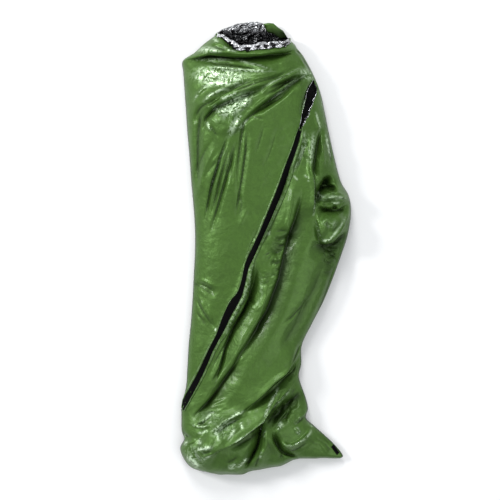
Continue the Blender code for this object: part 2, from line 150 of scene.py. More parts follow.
# The main folds, head end first: height, half width, lean (above 0 the flank to the right of the fold's
# direction is the steep one) and the points of the crest or trough
Fold = namedtuple("Fold", "height width lean line")
FOLDS = {
    "cowl roll": (28, 30, 0.6, -300, 690, -200, 712, -90, 706, -15, 706, 80, 722, 150, 742),
    "under the cowl": (-34, 12, -0.8, -320, 672, -200, 694, -110, 683, -65, 685, -20, 692, 25, 698, 70, 704,
        120, 722),
    "first chest ridge": (6, 14, 0.3, -262, 662, -96, 648, -6, 641, 70, 640),
    "shoulder ridge": (18, 15, 0.4, 158, 660, 70, 614, -25, 552),
    "shoulder trough": (-20, 10, 0.5, 172, 645, 90, 588, 35, 548, -60, 478),
    "chest ridge": (26, 34, -0.45, 60, 622, -90, 574, -165, 545, -215, 510, -240, 450),
    "chest trough": (-22, 9, 0.4, 10, 590, -110, 540, -180, 510, -214, 472, -230, 400),
    "breast puff": (14, 48, 0, -165, 520, -135, 465, -118, 410),
    "outer belly trough": (-14, 6.5, 0.5, -132, 425, -160, 330, -192, 240, -226, 70),
    "inner belly trough": (-14, 6.5, 0.5, -98, 410, -128, 300, -160, 195, -205, 40),
    "middle trough": (-10, 7, 0.6, -66, 455, -72, 350, -86, 250, -112, 90),
    "left side trough": (-16, 14, 0, -205, 530, -236, 480, -244, 400, -246, 210),
    "left hip trough": (-8, 14, 0.4, -290, -112, -230, -138, -175, -175),
    "right side crease": (-26, 10, 0.3, 204, 450, 188, 368, 175, 285, 186, 235),
    "right side ridge": (14, 12, 0, 166, 410, 163, 340, 160, 260),
    "front of the arm": (16, 20, -0.85, 166, 300, 171, 240, 171, 208, 170, 150, 171, 110),
    "arm hollow": (-54, 18, 0.3, 238, 268, 212, 232, 196, 205, 190, 160),
    "arm hollow floor": (-28, 16, -0.6, 196, 214, 222, 224, 262, 222),
    "arm bump": (40, 22, 0.4, 176, 176, 223, 188, 268, 190, 316, 178),
    "under the bump": (-26, 13, -0.6, 180, 150, 219, 138, 246, 134, 272, 140, 296, 160),
    "arm flap": (26, 40, 0, 196, 100, 240, 92, 290, 110),
    "flap edge": (14, 22, 0.85, 186, 140, 210, 24, 241, 37, 268, 66, 291, 102, 310, 150),
    "under the flap": (-34, 22, -0.7, 165, 30, 206, 4, 246, 14, 278, 46, 300, 80),
    "dark fall below the waist": (-16, 36, -0.3, 106, 62, 66, 20, 24, -34),
    "dark fall below the flap": (-14, 30, 0, 252, 20, 236, -40, 216, -120),
    "closure hem": (5, 12, 0, 112, 385, 44, 212, -18, 62, -88, -120, -157, -262, -277, -510),
    "closure trough": (-16, 14, 0.5, 100, 320, 68, 212, 40, 140, 10, 66, -40, -30),
    "hem strip": (14, 15, -0.6, -42, -40, -66, -130, -84, -184, -112, -232, -150, -310),
    "left knee trough": (-30, 15, 0.75, -32, -40, -46, -120, -58, -181, -80, -232, -119, -300, -143, -360,
        -164, -430, -205, -500),
    "left thigh ridge": (9, 24, -0.5, 34, -40, 22, -140, -34, -255, -124, -400, -245, -570),
    "thigh trough": (-28, 30, 0.7, 142, 250, 128, 176, 112, 104, 86, 40, 52, -110, 10, -224, -66, -351,
        -123, -440),
    "shin trough": (-28, 20, 0.7, -84, -385, -121, -440, -171, -514, -207, -560, -262, -606),
    "thigh ridge": (15, 46, 0, 120, 40, 104, -110, 60, -245, -16, -362, -180, -585),
    "right thigh trough": (-10, 22, 0.3, 225, -20, 176, -140, 138, -212, 98, -292, 30, -400),
    "right thigh ridge": (7, 20, 0, 255, -30, 206, -155, 135, -300),
    "ankle overlap": (30, 30, -0.8, 140, -330, 115, -372, 69, -442, 28, -475, -13, -517, -110, -600),
    "under the overlap": (-26, 15, 0.5, 142, -380, 96, -446, 50, -486, 8, -528, -56, -582),
    "heel ridge": (30, 22, -0.8, 116, -468, 60, -524, 14, -572, -12, -613, -48, -641, -94, -675, -161, -716,
        -223, -752),
    "shin ridge": (16, 16, 0.3, -200, -662, -156, -618, -60, -578),
    "ankle hollow": (-32, 26, 0.3, 150, -500, 110, -536, 62, -584, 6, -650),
    "instep trough": (-32, 12, -0.5, -10, -616, -22, -659, -33, -716, -50, -750, -86, -806),
    "instep ridge": (22, 14, 0.4, 10, -645, 0, -720, -40, -795),
    "toe trough": (-24, 10, 0.5, 26, -650, 36, -692, 56, -726, 72, -738, 140, -756),
    "toe crease": (18, 15, -0.5, 42, -694, 86, -711, 118, -700, 147, -675, 172, -640),
    "heel puff": (22, 50, 0, -240, -690, -165, -735),
}
FOLD_TAPER = 0.25           # share of a fold's length over which each end runs out
CREASE_TAPER = 0.35
FAN_TAPER = 0.45
FOLD_REACH = 3
FOLD_EDGE_POWER = 8
CREASE_EDGE_POWER = 30      # the fine creases run out nearer the side edges than the folds do
SHARP_CREST = 1.2           # of the folds up to WIDE_FOLD half wide; sharper than the solid's
ROUND_CREST = 1.7
WIDE_FOLD = 27
CREASE_CREST = 1.1
TENT_REACH = 1.5            # half width of a fold's straight flanks, over its own half width
TENT_SHARE = 0.65           # how much of a fold's section is straight flanks, and not a round roll
VIEW_HEIGHT = 5000.0        # the folds' lines are true to plan as seen from this height over the middle
VIEW_MIDDLE = (-56.0, -4.0)
SHADE_SHARE = 1.1           # painted shade in a fold: how dark it is painted for its depth over its width
BROAD_SHADE = 15            # narrower folds get their painted shade along a thin line, not all over
FOLD_SHIFT = 0.35           # how far a leaning crest hangs over its steep flank, as a share of its height

# Creases finer than the solid's, with the same columns
CHEST_CREASES = filled(Fold, (
    (-14, 8, -0.4, -298, 668, -280, 680, -240, 688, -190, 691, -150, 690, -110, 688, -60, 688, -20, 690,
     20, 696, 60, 704, 104, 714),
    (-8, 6, 0, 20, 690, 48, 697, 84, 704, 112, 706),
    (7, 7, 0, -262, 704, -220, 718, -186, 716, -150, 713, -100, 706),
    (7, 6, 0.3, -188, 763, -171, 743, -155, 734, -137, 720, -101, 711),
    (-7, 6, 0, -200, 742, -180, 730, -160, 722, -130, 712),
    (-9, 6, 0, -150, 746, -134, 734, -114, 722, -98, 712),
    (-12, 5, 0, 108, 720, 118, 710, 130, 698),
    (-7, 5, 0, 122, 704, 138, 678, 156, 650, 172, 624),
    (5, 5, 0, 112, 704, 128, 680, 146, 650, 162, 626),
    (-6, 6, 0, -236, 668, -205, 675, -180, 668, -140, 667, -90, 662),
    (-12, 6, 0.3, -222, 505, -213, 516, -168, 552, -123, 577, -78, 597, -28, 608, 24, 618),
    (-13, 7, 0.3, 176, 620, 133, 622, 88, 604, 61, 588, 25, 563, -8, 545),
    (-8, 6, 0, 136, 626, 75, 600, 40, 586, -2, 572),
    (-10, 6, 0.3, 96, 574, 84, 568, 43, 536, -2, 509, -36, 484),
    (-10, 6, 0, 174, 622, 160, 586, 142, 545, 129, 500, 122, 470),
    (5, 7, 0, -249, 682, -170, 681, -96, 676, -21, 653, 41, 636),
    (-4, 6, 0, -230, 665, -129, 661, -30, 647, 20, 636),
    (4, 6, 0.3, -207, 659, -137, 649, -55, 645, 28, 640),
    (-5, 6, 0, 123, 659, 49, 622, -21, 605, -79, 581, -137, 560, -178, 535),
    (6, 7, 0.3, 110, 664, 40, 632, -21, 617, -79, 594, -120, 578),
    (-6, 6, 0, 144, 638, 86, 609, 28, 581, -5, 560),
    (5, 6, 0.3, 150, 650, 92, 620, 36, 592, 0, 572),
    (-8, 7, 0.2, 165, 622, 102, 593, 61, 560, 8, 527, -30, 498, -71, 461, -83, 428, -96, 328, -102, 230,
     -108, 150),
    (6, 7, 0.3, 160, 634, 100, 606, 54, 572, 0, 540, -40, 508, -82, 466, -94, 425),
    (-6, 6, 0, 69, 576, 28, 543, -5, 519),
    (-5, 7, 0, 169, 618, 148, 560, 136, 519, 126, 470),
    (5, 6, 0, -259, 527, -249, 552, -220, 581, -190, 592),
    (7, 8, 0.4, -236, 522, -187, 562, -137, 587, -88, 597),
    (-8, 7, 0, -253, 440, -250, 480, -232, 512, -196, 532, -150, 556),
    (-6, 5, 0, -220, 492, -203, 518, -166, 543, -120, 560),
    (5, 6, 0, -178, 527, -170, 506, -145, 486, -120, 480),
    (8, 8, 0.3, -30, 566, -79, 530, -112, 496, -121, 465, -125, 440, -133, 408),
    (6, 6, 0, -44, 540, -84, 508, -104, 478),
    (6, 6, 0, -90, 468, -108, 432, -121, 405),
    (4, 5, 0, -222, 472, -203, 434, -188, 418),
    (-5, 6, 0, -206, 456, -178, 411, -168, 396),
    (-9, 6, 0.3, -136, 408, -148, 375, -162, 337, -178, 279, -195, 213, -213, 118),
    (6, 6, 0, -131, 404, -153, 337, -170, 279, -187, 213, -204, 130),
    (-9, 6, 0.3, -116, 408, -126, 375, -141, 328, -162, 254, -180, 176, -206, 90),
    (6, 6, 0, -108, 400, -131, 328, -152, 254, -170, 176, -200, 84),
    (-5, 5, 0, -104, 402, -127, 337, -145, 280, -156, 230),
    (-4, 9, 0, -178, 407, -220, 349, -245, 285, -250, 210),
    (4, 8, 0, -170, 380, -206, 320, -230, 250, -240, 180),
    (-2.5, 6, 0, -1, 465, -21, 390, -38, 328),
    (-2, 6, 0, 53, 452, 34, 410, 16, 349, -17, 275),
    (-2.5, 6, 0, -60, 470, -30, 474, 6, 462),
    (-3, 7, 0, -95, 248, -99, 205, -86, 160, -104, 87),
    (2.5, 7, 0, -60, 160, -80, 110, -100, 70),
))
RIGHT_CREASES = filled(Fold, (
    (-14, 8, 0, 206, 262, 216, 246, 232, 222, 250, 210),
    (-14, 7, 0, 198, 144, 214, 140, 234, 142, 250, 146, 270, 152),
    (-7, 7, 0, -15, 77, -29, 68, -56, -13, -83, -76),
    (-8, 7, 0, 22, 44, 48, 34, 78, 44, 104, 52),
    (-7, 6, 0, 28, 22, 54, 12, 84, 20),
    (-8, 7, 0, 206, 18, 226, -8, 250, -30, 258, -60),
    (-7, 6, 0, 224, 10, 240, -4, 266, 4),
    (-7, 6, 0, 206, -34, 224, -52, 244, -60),
    (6, 6, 0, 148, 440, 132, 395, 116, 356, 100, 304, 82, 258),
    (-5, 5, 0, 160, 420, 140, 366, 118, 300, 104, 256),
    (-8, 6, 0, 202, 440, 187, 372, 176, 308, 176, 258),
    (6, 6, 0, 150, 400, 160, 350, 166, 300, 162, 262, 154, 226),
    (-6, 6, 0, 214, 420, 230, 368, 236, 308, 226, 286),
    (5, 5, 0, 196, 420, 206, 368, 210, 318, 200, 280),
    (4, 5, 0, 172, 500, 184, 460, 196, 420),
    (8, 5, -0.6, 156, 334, 161, 306, 162, 284, 166, 246, 171, 208, 171, 160, 171, 122),
    (-10, 6, 0.4, 184, 262, 182, 222, 184, 190, 182, 150, 180, 128),
    (-12, 7, 0.4, 230, 264, 214, 240, 204, 206, 192, 196),
    (-8, 6, 0, 214, 226, 236, 214, 262, 212),
    (8, 5, 0.5, 184, 184, 202, 192, 223, 201, 246, 203, 268, 201, 288, 190, 304, 180),
    (7, 5, 0, 240, 196, 248, 180, 256, 170, 280, 176, 304, 180),
    (-6, 5, 0, 262, 192, 276, 184, 292, 176),
    (-14, 7, 0, 238, 152, 248, 149, 258, 153),
    (6, 5, 0, 232, 168, 248, 164, 262, 166),
    (-10, 7, -0.5, 184, 158, 204, 146, 222, 138, 246, 133, 268, 138, 290, 158, 304, 172),
    (9, 5, 0.6, 183, 131, 188, 100, 198, 62, 207, 32, 212, 26),
    (9, 5, 0.7, 208, 26, 224, 30, 241, 38, 268, 66, 284, 92, 294, 112, 304, 146),
    (-10, 7, 0, 174, 120, 184, 74, 198, 20, 226, 16, 252, 24, 276, 50, 292, 78),
    (-4, 6, 0, 214, 112, 224, 84, 228, 58),
    (4, 6, 0, 238, 110, 240, 84, 236, 60),
    (5, 5, 0, 208, -46, 232, -42, 262, -34),
    (5, 5, 0, 200, -78, 222, -80, 246, -72),
    (-6, 6, 0, 214, 0, 236, -10, 262, -4),
    (-5, 6, 0, 212, -28, 238, -26, 268, -12),
    (4, 5, 0, 224, 2, 246, 6, 272, 22),
    (6, 6, 0, 58, 214, 42, 150, 20, 96, 12, 74, 18, 40),
    (-5, 6, 0, 139, 207, 124, 150, 108, 96, 88, 40),
    (5, 7, 0, 100, 226, 92, 160, 78, 96, 60, 50),
    (-5, 8, 0, 26, 60, 60, 66, 88, 60),
    (-6, 8, 0, 14, -18, 42, -12, 74, 4),
    (4, 5, 0, 24, 8, 48, 14, 76, 30),
    (-6, 7, 0, 12, -46, 40, -52, 68, -42),
    (3.5, 5, 0, 18, -34, 44, -38, 70, -26),
    (4, 5, 0, 40, -116, 26, -130, 4, -144),
    (-4, 5, 0, 52, -102, 34, -94, 12, -98),
    (-4, 5, 0, 62, -66, 48, -74, 28, -78),
))
LEG_CREASES = filled(Fold, (
    (-12, 6, 0.4, -30, -56, -34, -90, -40, -130, -52, -170, -72, -210, -98, -252, -124, -296),
    (-9, 6, 0.3, -36, -60, -38, -148, -74, -222, -110, -268, -146, -346, -191, -427, -216, -486),
    (-5, 6, 0, 160, -170, 142, -193, 96, -244, 52, -283),
    (-10, 6, -0.3, 262, -20, 250, -58, 222, -140, 190, -222, 150, -306),
    (-12, 6, 0, 134, -330, 124, -346, 100, -392, 79, -427),
    (-6, 8, 0.4, 52, -110, 28, -180, 10, -224, -14, -264, -30, -300, -66, -351, -92, -380, -121, -433,
     -166, -487, -203, -537, -240, -582, -270, -612),
    (3, 7, -0.4, 2, -60, -2, -130, -6, -190, -28, -262, -66, -330, -100, -372, -134, -428, -178, -482,
     -215, -532, -252, -578),
    (-7, 6, 0, -34, -57, -40, -122, -65, -192, -82, -236, -108, -275, -130, -336, -156, -393),
    (5, 6, 0, -48, -62, -52, -116, -74, -180),
    (5, 6, 0, -92, -196, -108, -240, -134, -290),
    (-7, 6, 0, -104, -286, -121, -318, -141, -355, -162, -429, -178, -462, -199, -491),
    (4, 6, 0, -120, -300, -150, -372, -178, -440, -206, -500),
    (4, 7, 0, -20, -60, 2, -118, 2, -166, -20, -210, -58, -224),
    (-6, 7, 0, -62, -170, -48, -188, -40, -204),
    (3, 6, 0, 153, -136, 136, -188, 101, -253, 79, -275),
    (-3, 6, 0, 160, -128, 144, -188, 110, -253, 86, -290),
    (-5, 7, 0, -254, -120, -213, -135, -176, -162),
    (4, 6, 0, -250, -106, -213, -120, -170, -140),
    (-4, 6, 0, -257, -162, -222, -231, -178, -292),
    (3.5, 6, 0, -250, -156, -214, -226, -172, -284),
    (-3, 6, 0, -262, -200, -236, -244, -196, -300),
    (-3, 5, 0, -162, -425, -178, -475, -200, -500),
    (9, 7, -0.5, 131, -352, 107, -392, 78, -435, 28, -472, -16, -516, -56, -560),
    (-12, 7, -0.3, 138, -358, 114, -404, 86, -447, 34, -488, -10, -532, -52, -574),
    (-9, 7, 0, 131, -355, 131, -400, 122, -452),
    (4, 5, 0, 116, -400, 112, -430, 104, -456),
))
FOOT_CREASES = filled(Fold, (
    (-10, 18, -0.3, 0, -634, -35, -668, -76, -694, -117, -716, -146, -730),
    (-12, 24, 0, 112, -528, 84, -556, 60, -586, 20, -628),
    (-10, 16, 0, 52, -586, 26, -610, 0, -640),
    (-9, 6, 0.2, 112, -540, 92, -552, 80, -574, 76, -596),
    (-9, 6, -0.2, 84, -540, 66, -560, 58, -584, 46, -604),
    (-9, 6, 0, 52, -566, 36, -590, 34, -612, 22, -634),
    (-8, 6, 0, 96, -580, 76, -608, 70, -632),
    (-14, 9, 0.3, -10, -612, -19, -660, -24, -696, -34, -721, -55, -757, -74, -790),
    (-12, 6, 0.3, 34, -664, 38, -680, 48, -711, 61, -734, 89, -742, 118, -748),
    (-8, 5, 0, 56, -730, 59, -742, 62, -758),
    (-9, 6, 0, -14, -738, -19, -747, -29, -773, -34, -788),
    (-13, 8, 0.3, 34, -484, 27, -493, -14, -534, -60, -572, -76, -584),
    (-10, 8, 0.3, -160, -500, -168, -511, -204, -557, -230, -583, -272, -614),
    (9, 6, -0.4, 116, -468, 60, -524, 34, -548, 14, -572, -12, -613, -48, -641, -94, -675, -161, -716,
     -223, -752),
    (-7, 8, 0.4, 104, -500, 64, -540, 24, -582, -4, -622, -42, -654, -90, -692, -150, -728),
    (6, 5, 0, 44, -510, 22, -553, -2, -594, -22, -617),
    (-4, 5, 0, 56, -506, 34, -548, 8, -590),
    (7, 22, 0.5, -200, -684, -187, -659, -156, -618, -120, -598, -80, -578),
    (5, 5, 0, -190, -668, -166, -630, -132, -606, -96, -590),
    (-6, 7, 0, -176, -690, -168, -662, -142, -634, -100, -614, -60, -602),
    (6, 6, 0.3, -150, -690, -140, -672, -120, -656, -100, -640, -84, -628),
    (8, 7, 0.4, -262, -640, -233, -621, -202, -603, -184, -584),
    (7, 6, 0, -268, -628, -249, -636, -222, -639, -204, -634, -190, -616),
    (-6, 6, 0, -260, -631, -232, -630, -206, -618),
    (4, 5, 0, -150, -636, -158, -660, -166, -690),
    (5, 6, 0, 86, -490, 100, -466, 116, -458),
    (6, 5, 0, 56, -630, 44, -656, 40, -672),
    (-8, 5, 0, -6, -640, 30, -600, 70, -566, 104, -536),
    (-7, 5, 0, 34, -656, 60, -620, 88, -584, 118, -548),
    (-7, 5, 0, 10, -618, 44, -584, 84, -548),
    (6, 5, 0, 10, -640, 44, -602, 80, -566, 104, -548),
    (6, 5, 0, 26, -654, 56, -614, 92, -576),
    (7, 6, 0.3, 154, -576, 138, -596, 122, -608, 106, -623),
    (-6, 6, 0, 148, -596, 128, -616, 104, -640),
    (6, 6, 0, 104, -640, 112, -652, 120, -668),
    (9, 6, -0.3, 50, -700, 68, -708, 86, -711, 116, -700, 147, -675, 163, -654, 176, -636),
    (-6, 7, 0, 60, -722, 90, -728, 126, -714, 166, -684),
    (-11, 7, -0.4, -6, -610, -12, -618, -22, -659, -33, -716, -48, -747, -69, -778, -84, -804),
    (9, 6, 0.3, 4, -640, -8, -690, -18, -735, -40, -776),
    (-9, 6, 0.4, 26, -652, 34, -690, 55, -726, 70, -736, 106, -747),
    (8, 6, 0, 16, -660, 24, -694, 42, -730, 58, -746),
    (-8, 6, 0, -22, -745, -30, -766, -40, -792),
    (-6, 5, 0, 57, -736, 56, -752, 70, -762),
    (6, 18, -0.4, -292, -722, -280, -742, -262, -764, -240, -790),
    (5, 5, 0, -286, -738, -268, -762, -250, -782),
    (-5, 6, 0, -268, -716, -246, -748, -222, -780),
    (8, 6, 0, -302, -696, -286, -704, -270, -696, -250, -686),
    (6, 16, 0.4, -248, -728, -238, -721, -212, -714, -187, -706, -170, -704),
    (6, 6, 0, -236, -760, -222, -748, -204, -738, -186, -726),
    (-5, 6, 0, -236, -742, -210, -730, -184, -720),
    (6, 16, 0.4, -142, -790, -125, -782, -100, -776, -69, -760, -58, -746),
    (-6, 6, 0, -150, -776, -120, -762, -92, -742),
    (-10, 6, 0, -308, -650, -296, -662, -282, -676, -266, -682),
    (4, 6, 0, 190, -690, 210, -716, 226, -744),
    (-3, 5, 0, 206, -690, 226, -716, 236, -740),
))
CREASES = CHEST_CREASES + RIGHT_CREASES + LEG_CREASES + FOOT_CREASES

# Fans of small tension wrinkles: where they start, direction and spread in degrees, length, number, height
Fan = namedtuple("Fan", "x y direction spread length count height")
FANS = filled(Fan, (
    (168, 640, 212, 46, 150, 11, 2.4), (-150, 560, 160, 60, 80, 8, 2.2), (-120, 405, 252, 40, 210, 8, 2.4),
    (190, 210, 280, 70, 90, 8, 3.0), (180, 280, 100, 60, 120, 8, 2.6), (285, 110, 215, 60, 90, 8, 2.4),
    (250, 10, 200, 70, 70, 9, 3.0), (40, 10, 250, 80, 80, 9, 2.8), (38, -90, 200, 70, 60, 7, 2.2),
    (-178, -292, 120, 40, 110, 8, 2.4), (-250, -600, 30, 60, 120, 9, 2.6), (5, -640, 60, 60, 130, 9, 3.0),
    (0, -650, 262, 60, 120, 9, 3.0), (120, -480, 240, 50, 120, 8, 2.6), (255, -725, 150, 40, 110, 7, 2.0),
    (-230, -760, 60, 90, 100, 8, 2.4),
))
FAN_STEPS = 4
# The ranges that a wrinkle of a fan is drawn from: degrees of turn and of bend, start and length as
# shares of the fan's length, height as a share of the fan's, and half width
FAN_TURN, FAN_BEND = (-2.5, 2.5), (-14, 14)
FAN_START, FAN_LENGTH = (0.05, 0.35), (0.4, 1.0)
FAN_HEIGHT, FAN_WIDTH = (0.6, 1.3), (5, 8)

# Patches where the film is crumpled into small facets: middle, half widths and strength
Patch = namedtuple("Patch", "x y radius_x radius_y strength")
PATCHES = filled(Patch, (
    (-160, 622, 100, 36, 1.25), (-108, 522, 72, 46, 1.25), (-190, 712, 80, 22, 0.6), (60, 650, 90, 40, 0.45),
    (222, 380, 45, 110, 0.9), (240, 180, 60, 50, 0.8), (245, -10, 55, 60, 1.3), (55, 10, 60, 55, 0.8),
    (34, -110, 38, 52, 0.55), (-110, -330, 36, 80, 0.5), (-235, -170, 45, 70, 0.45),
    (-160, -640, 130, 50, 0.7), (-250, -750, 60, 50, 0.7), (62, -590, 70, 60, 1.3), (60, -720, 120, 60, 0.5),
    (-40, 735, 150, 30, 0.6),
))
PATCH_FALL = 1.5
CALM = 0.28                 # how much of the crumpling is left away from the patches
CUFF_CRUMPLE = 1.2
# The sizes of facets, one over the other: pitch, stretch, turn in radians and share of the height
FACETS = ((44, 1.7, 0.9, 0.75), (23, 1.5, 0.35, 0.60), (12, 1.3, 2.2, 0.36))
FACET_JITTER = 0.42

# Painted sheen: pale painted highlight lines where creases catch the light: strength, half width and the
# points of a line
Sheen = namedtuple("Sheen", "strength width line")
SHEENS = filled(Sheen, (
    (0.9, 6, -246, 716, -220, 718, -186, 716, -150, 713),
    (0.8, 4, -240, 728, -222, 721, -200, 720),
    (0.9, 4, -188, 763, -180, 752, -169, 741),
    (0.6, 4, -155, 734, -137, 720, -101, 711),
    (0.5, 5, -275, 680, -240, 680, -209, 678, -168, 680, -114, 678),
    (0.6, 3.5, -120, 678, -101, 677, -65, 667, -29, 660, -2, 655, 30, 642),
    (0.7, 4.5, -258, 655, -245, 653, -209, 651, -168, 653, -128, 649, -65, 642, -11, 640, 48, 637),
    (1.0, 8, -236, 588, -222, 592, -182, 599, -146, 597, -104, 603),
    (0.9, 6, -256, 618, -238, 616, -216, 622),
    (0.8, 5, -128, 614, -104, 622, -80, 626),
    (0.7, 5, -226, 638, -190, 640, -150, 634),
    (0.7, 4, -232, 606, -196, 614, -150, 612),
    (0.5, 3, -264, 522, -256, 538, -245, 554, -222, 581, -182, 586),
    (0.8, 4, -232, 524, -216, 540, -200, 554, -164, 572, -122, 580),
    (0.9, 5, -170, 533, -164, 537, -137, 549, -92, 568),
    (1.0, 5, -132, 486, -124, 491, -83, 518, -43, 542),
    (1.0, 6, -112, 508, -101, 518, -74, 538, -47, 556),
    (0.9, 6, -182, 528, -182, 508, -166, 496, -150, 490, -124, 486),
    (0.7, 6, -160, 516, -137, 510, -112, 498),
    (0.9, 6, -80, 486, -92, 476, -105, 455, -122, 430, -136, 408),
    (0.6, 4, -60, 470, -82, 448, -100, 420),
    (0.8, 4, -212, 460, -205, 446, -195, 424),
    (0.2, 4, -140, 392, -150, 360, -177, 284, -204, 180),
    (0.45, 4, 132, 654, 79, 626, 7, 590, -30, 572),
    (0.4, 4, 150, 632, 100, 600, 50, 560, 0, 522),
    (0.7, 6, 136, 640, 152, 632, 168, 618),
    (0.8, 4, 182, 612, 170, 594, 160, 572, 148, 546, 140, 520, 132, 490),
    (0.9, 5, 146, 432, 136, 406, 124, 374, 106, 320, 90, 280),
    (0.5, 8, 176, 430, 170, 380, 164, 320, 162, 290),
    (0.5, 3, 98, 266, 110, 254, 116, 240),
    (0.5, 3, 136, 268, 148, 254, 153, 238),
    (0.6, 2.5, 196, 560, 204, 520, 214, 482, 222, 446),
    (0.8, 3, 214, 420, 219, 401, 230, 350, 238, 326),
    (0.5, 4, 178, 500, 190, 460, 200, 420),
    (0.55, 3, 184, 214, 198, 200, 214, 188, 250, 190, 280, 186, 302, 176),
    (0.9, 3.5, 166, 262, 176, 210, 178, 176, 174, 130, 172, 110),
    (0.5, 3.5, 232, 168, 250, 164, 270, 168),
    (0.65, 2.8, 178, 116, 190, 74, 205, 32, 220, 34, 232, 41, 268, 86, 296, 132),
    (0.25, 7, 206, 110, 232, 84, 258, 106),
    (0.9, 4, 20, 108, 15, 92, 12, 66, 16, 44),
    (0.9, 5, -50, -62, -56, -74, -62, -86),
    (0.15, 5, -28, -62, -14, -120, -20, -180, -60, -240, -100, -300),
    (1.0, 4, -184, -286, -177, -293, -170, -298),
    (0.7, 3.5, 96, -500, 56, -544, 17, -580, -14, -616),
    (1.1, 4, 20, -580, -14, -616, -44, -644, -91, -673, -127, -701, -168, -726),
    (1.0, 3, 56, -484, 42, -508, 17, -547, -1, -580, -18, -618),
    (1.0, 5, -68, -580, -76, -582, -106, -593, -137, -613, -160, -636, -180, -650),
    (0.9, 10, -146, -622, -163, -639, -180, -652, -174, -672),
    (0.7, 6, -184, -655, -174, -672, -168, -690),
    (0.6, 5, -90, -618, -88, -630, -86, -646),
    (0.8, 5, -112, -640, -124, -660, -140, -686),
    (0.7, 4, -178, -583, -204, -601, -219, -616, -240, -620),
    (0.55, 4, -192, -598, -199, -624, -219, -639, -245, -638, -276, -628),
    (1.0, 6, -240, -680, -239, -692, -236, -704),
    (0.5, 4, -248, -666, -219, -657, -200, -650),
    (1.0, 6, -180, -707, -200, -711, -219, -714, -240, -721, -226, -728),
    (0.7, 4, -192, -740, -210, -750, -234, -760),
    (1.0, 10, -284, -736, -274, -750, -258, -766, -238, -790),
    (0.9, 7, -298, -692, -290, -698, -280, -702),
    (0.9, 4, -298, -664, -292, -670, -286, -680),
    (0.9, 4.5, -60, -750, -70, -758, -86, -770, -102, -790),
    (0.7, 8, -104, -768, -118, -782, -136, -792),
    (0.6, 4, 128, -604, 114, -620, 102, -632),
    (0.6, 6, 108, -640, 116, -656, 124, -670),
    (0.7, 3, 170, -640, 158, -668, 135, -688, 110, -703, 79, -709, 56, -700),
    (0.7, 4, 150, -614, 162, -630, 172, -646),
    (0.7, 6, 60, -624, 52, -640, 42, -652),
    (0.6, 4, -2, -650, -5, -666, -6, -680),
    (0.5, 4, -10, -726, -16, -742, -14, -756),
))
SHEEN_TAPER = 0.3
# Patches of the same painted sheen: middle, half widths, turn in degrees and strength
SheenPatch = namedtuple("SheenPatch", "x y radius_x radius_y turn strength")
SHEEN_PATCHES = filled(SheenPatch, (
    (-166, 622, 84, 32, -3, 0.75), (-114, 516, 74, 27, 33, 0.75), (-112, 446, 42, 13, 62, 0.45),
    (-206, 718, 44, 12, 0, 0.45), (150, 628, 30, 20, 0, 0.45), (122, 340, 70, 12, 66, 0.35),
    (232, 186, 60, 12, 0, 0.15), (-150, -640, 46, 26, 40, 0.25), (-256, -748, 34, 42, 30, 0.25),
    (-200, -612, 60, 26, 0, 0.12),
))
SHEEN_COLOUR = (0.68, 0.87, 0.60)   # colour of the painted sheen, a pale painted highlight
PALE_EDGE = 0.07            # share of the half width where it fades towards the side edges
RIM_SHADE = 0.9             # painted shade along the side edges: how dark it is
RIM_SHARE = 0.028           # of the half width carries that painted shade

# The side closure: the middle of the tape and the width of it that shows between its hems
TapeRow = namedtuple("TapeRow", "x y width")
CLOSURE_TAPE = filled(TapeRow, (
    (122, 430, 6), (118, 414, 13), (101, 356, 16), (78, 292, 18), (51, 212, 21), (22, 140, 21),
    (-13, 58, 19), (-53, -30, 19), (-68, -66, 16), (-80, -119, 15), (-93, -160, 19), (-112, -190, 28),
    (-134, -230, 26), (-152, -272, 23), (-168, -308, 17), (-194, -358, 16), (-214, -403, 18),
    (-234, -446, 19), (-256, -488, 20), (-280, -532, 21), (-300, -572, 18),
))
SlitRow = namedtuple("SlitRow", "left_x right_x y")
SLIT = filled(SlitRow, (
    (119, 123, 420), (119, 128, 430), (121, 135, 441), (124, 142, 455), (126, 153, 472), (130, 158, 490),
    (134, 165, 505), (139, 171, 525), (143, 181, 546), (151, 184, 567), (157, 181, 579), (164, 174, 590),
    (170, 173, 600),
))
# The line between the two panels runs on from the closure over the shoulder, and over the left leg
CUT_HEAD = [(330, 680), (205, 622)]
CUT_FOOT = [(-350, -620)]
CUT_RETURN = [(-350, -1000), (1000, -1000), (1000, 680)]    # and back round the foot and the right side
CUT_REACH = 1.9             # the film's points this near a cut move onto it
DROP_STEPS = 60             # how many millimetres beside its place a piece may look for the film
OPEN_HALF_MARGIN = 6.0
FOOT_TAB = ((243, -699), (264, -729), (255, -738), (234, -708))

# Widths of film turned over beside the tape: y from the head down, left hem and right hem
HemRow = namedtuple("HemRow", "y left right")
HEMS = filled(HemRow, (
    (430, 2, 3), (395, 4, 12), (330, 5, 15), (260, 6, 15), (150, 8, 12), (60, 9, 9), (-30, 9, 8),
    (-60, 6, 17), (-120, 5, 19), (-180, 5, 17), (-186, 5, 10), (-198, 5, 17), (-290, 6, 16), (-330, 7, 10),
    (-450, 8, 7), (-572, 4, 4),
))

# Heights and walls of what lies on the film, metres
TAPE_WALL = 0.0011
TAPE_EDGE = 0.0006
HEM_HEIGHTS = (0.0004, 0.0022, 0.0026, 0.0024, 0.0018, 0.0002)     # over the tape's, from it outwards
OPEN_HALF_GAP = 0.0012
OPEN_HALF_DIP = 0.0045
TAB_WALL = 0.0015
TAB_EDGE = 0.0008
TAB_RIB = 0.00025
LIP_WALL = 0.0008
LIP_LOWEST = 0.05           # the film beside the slit is nowhere lower than this
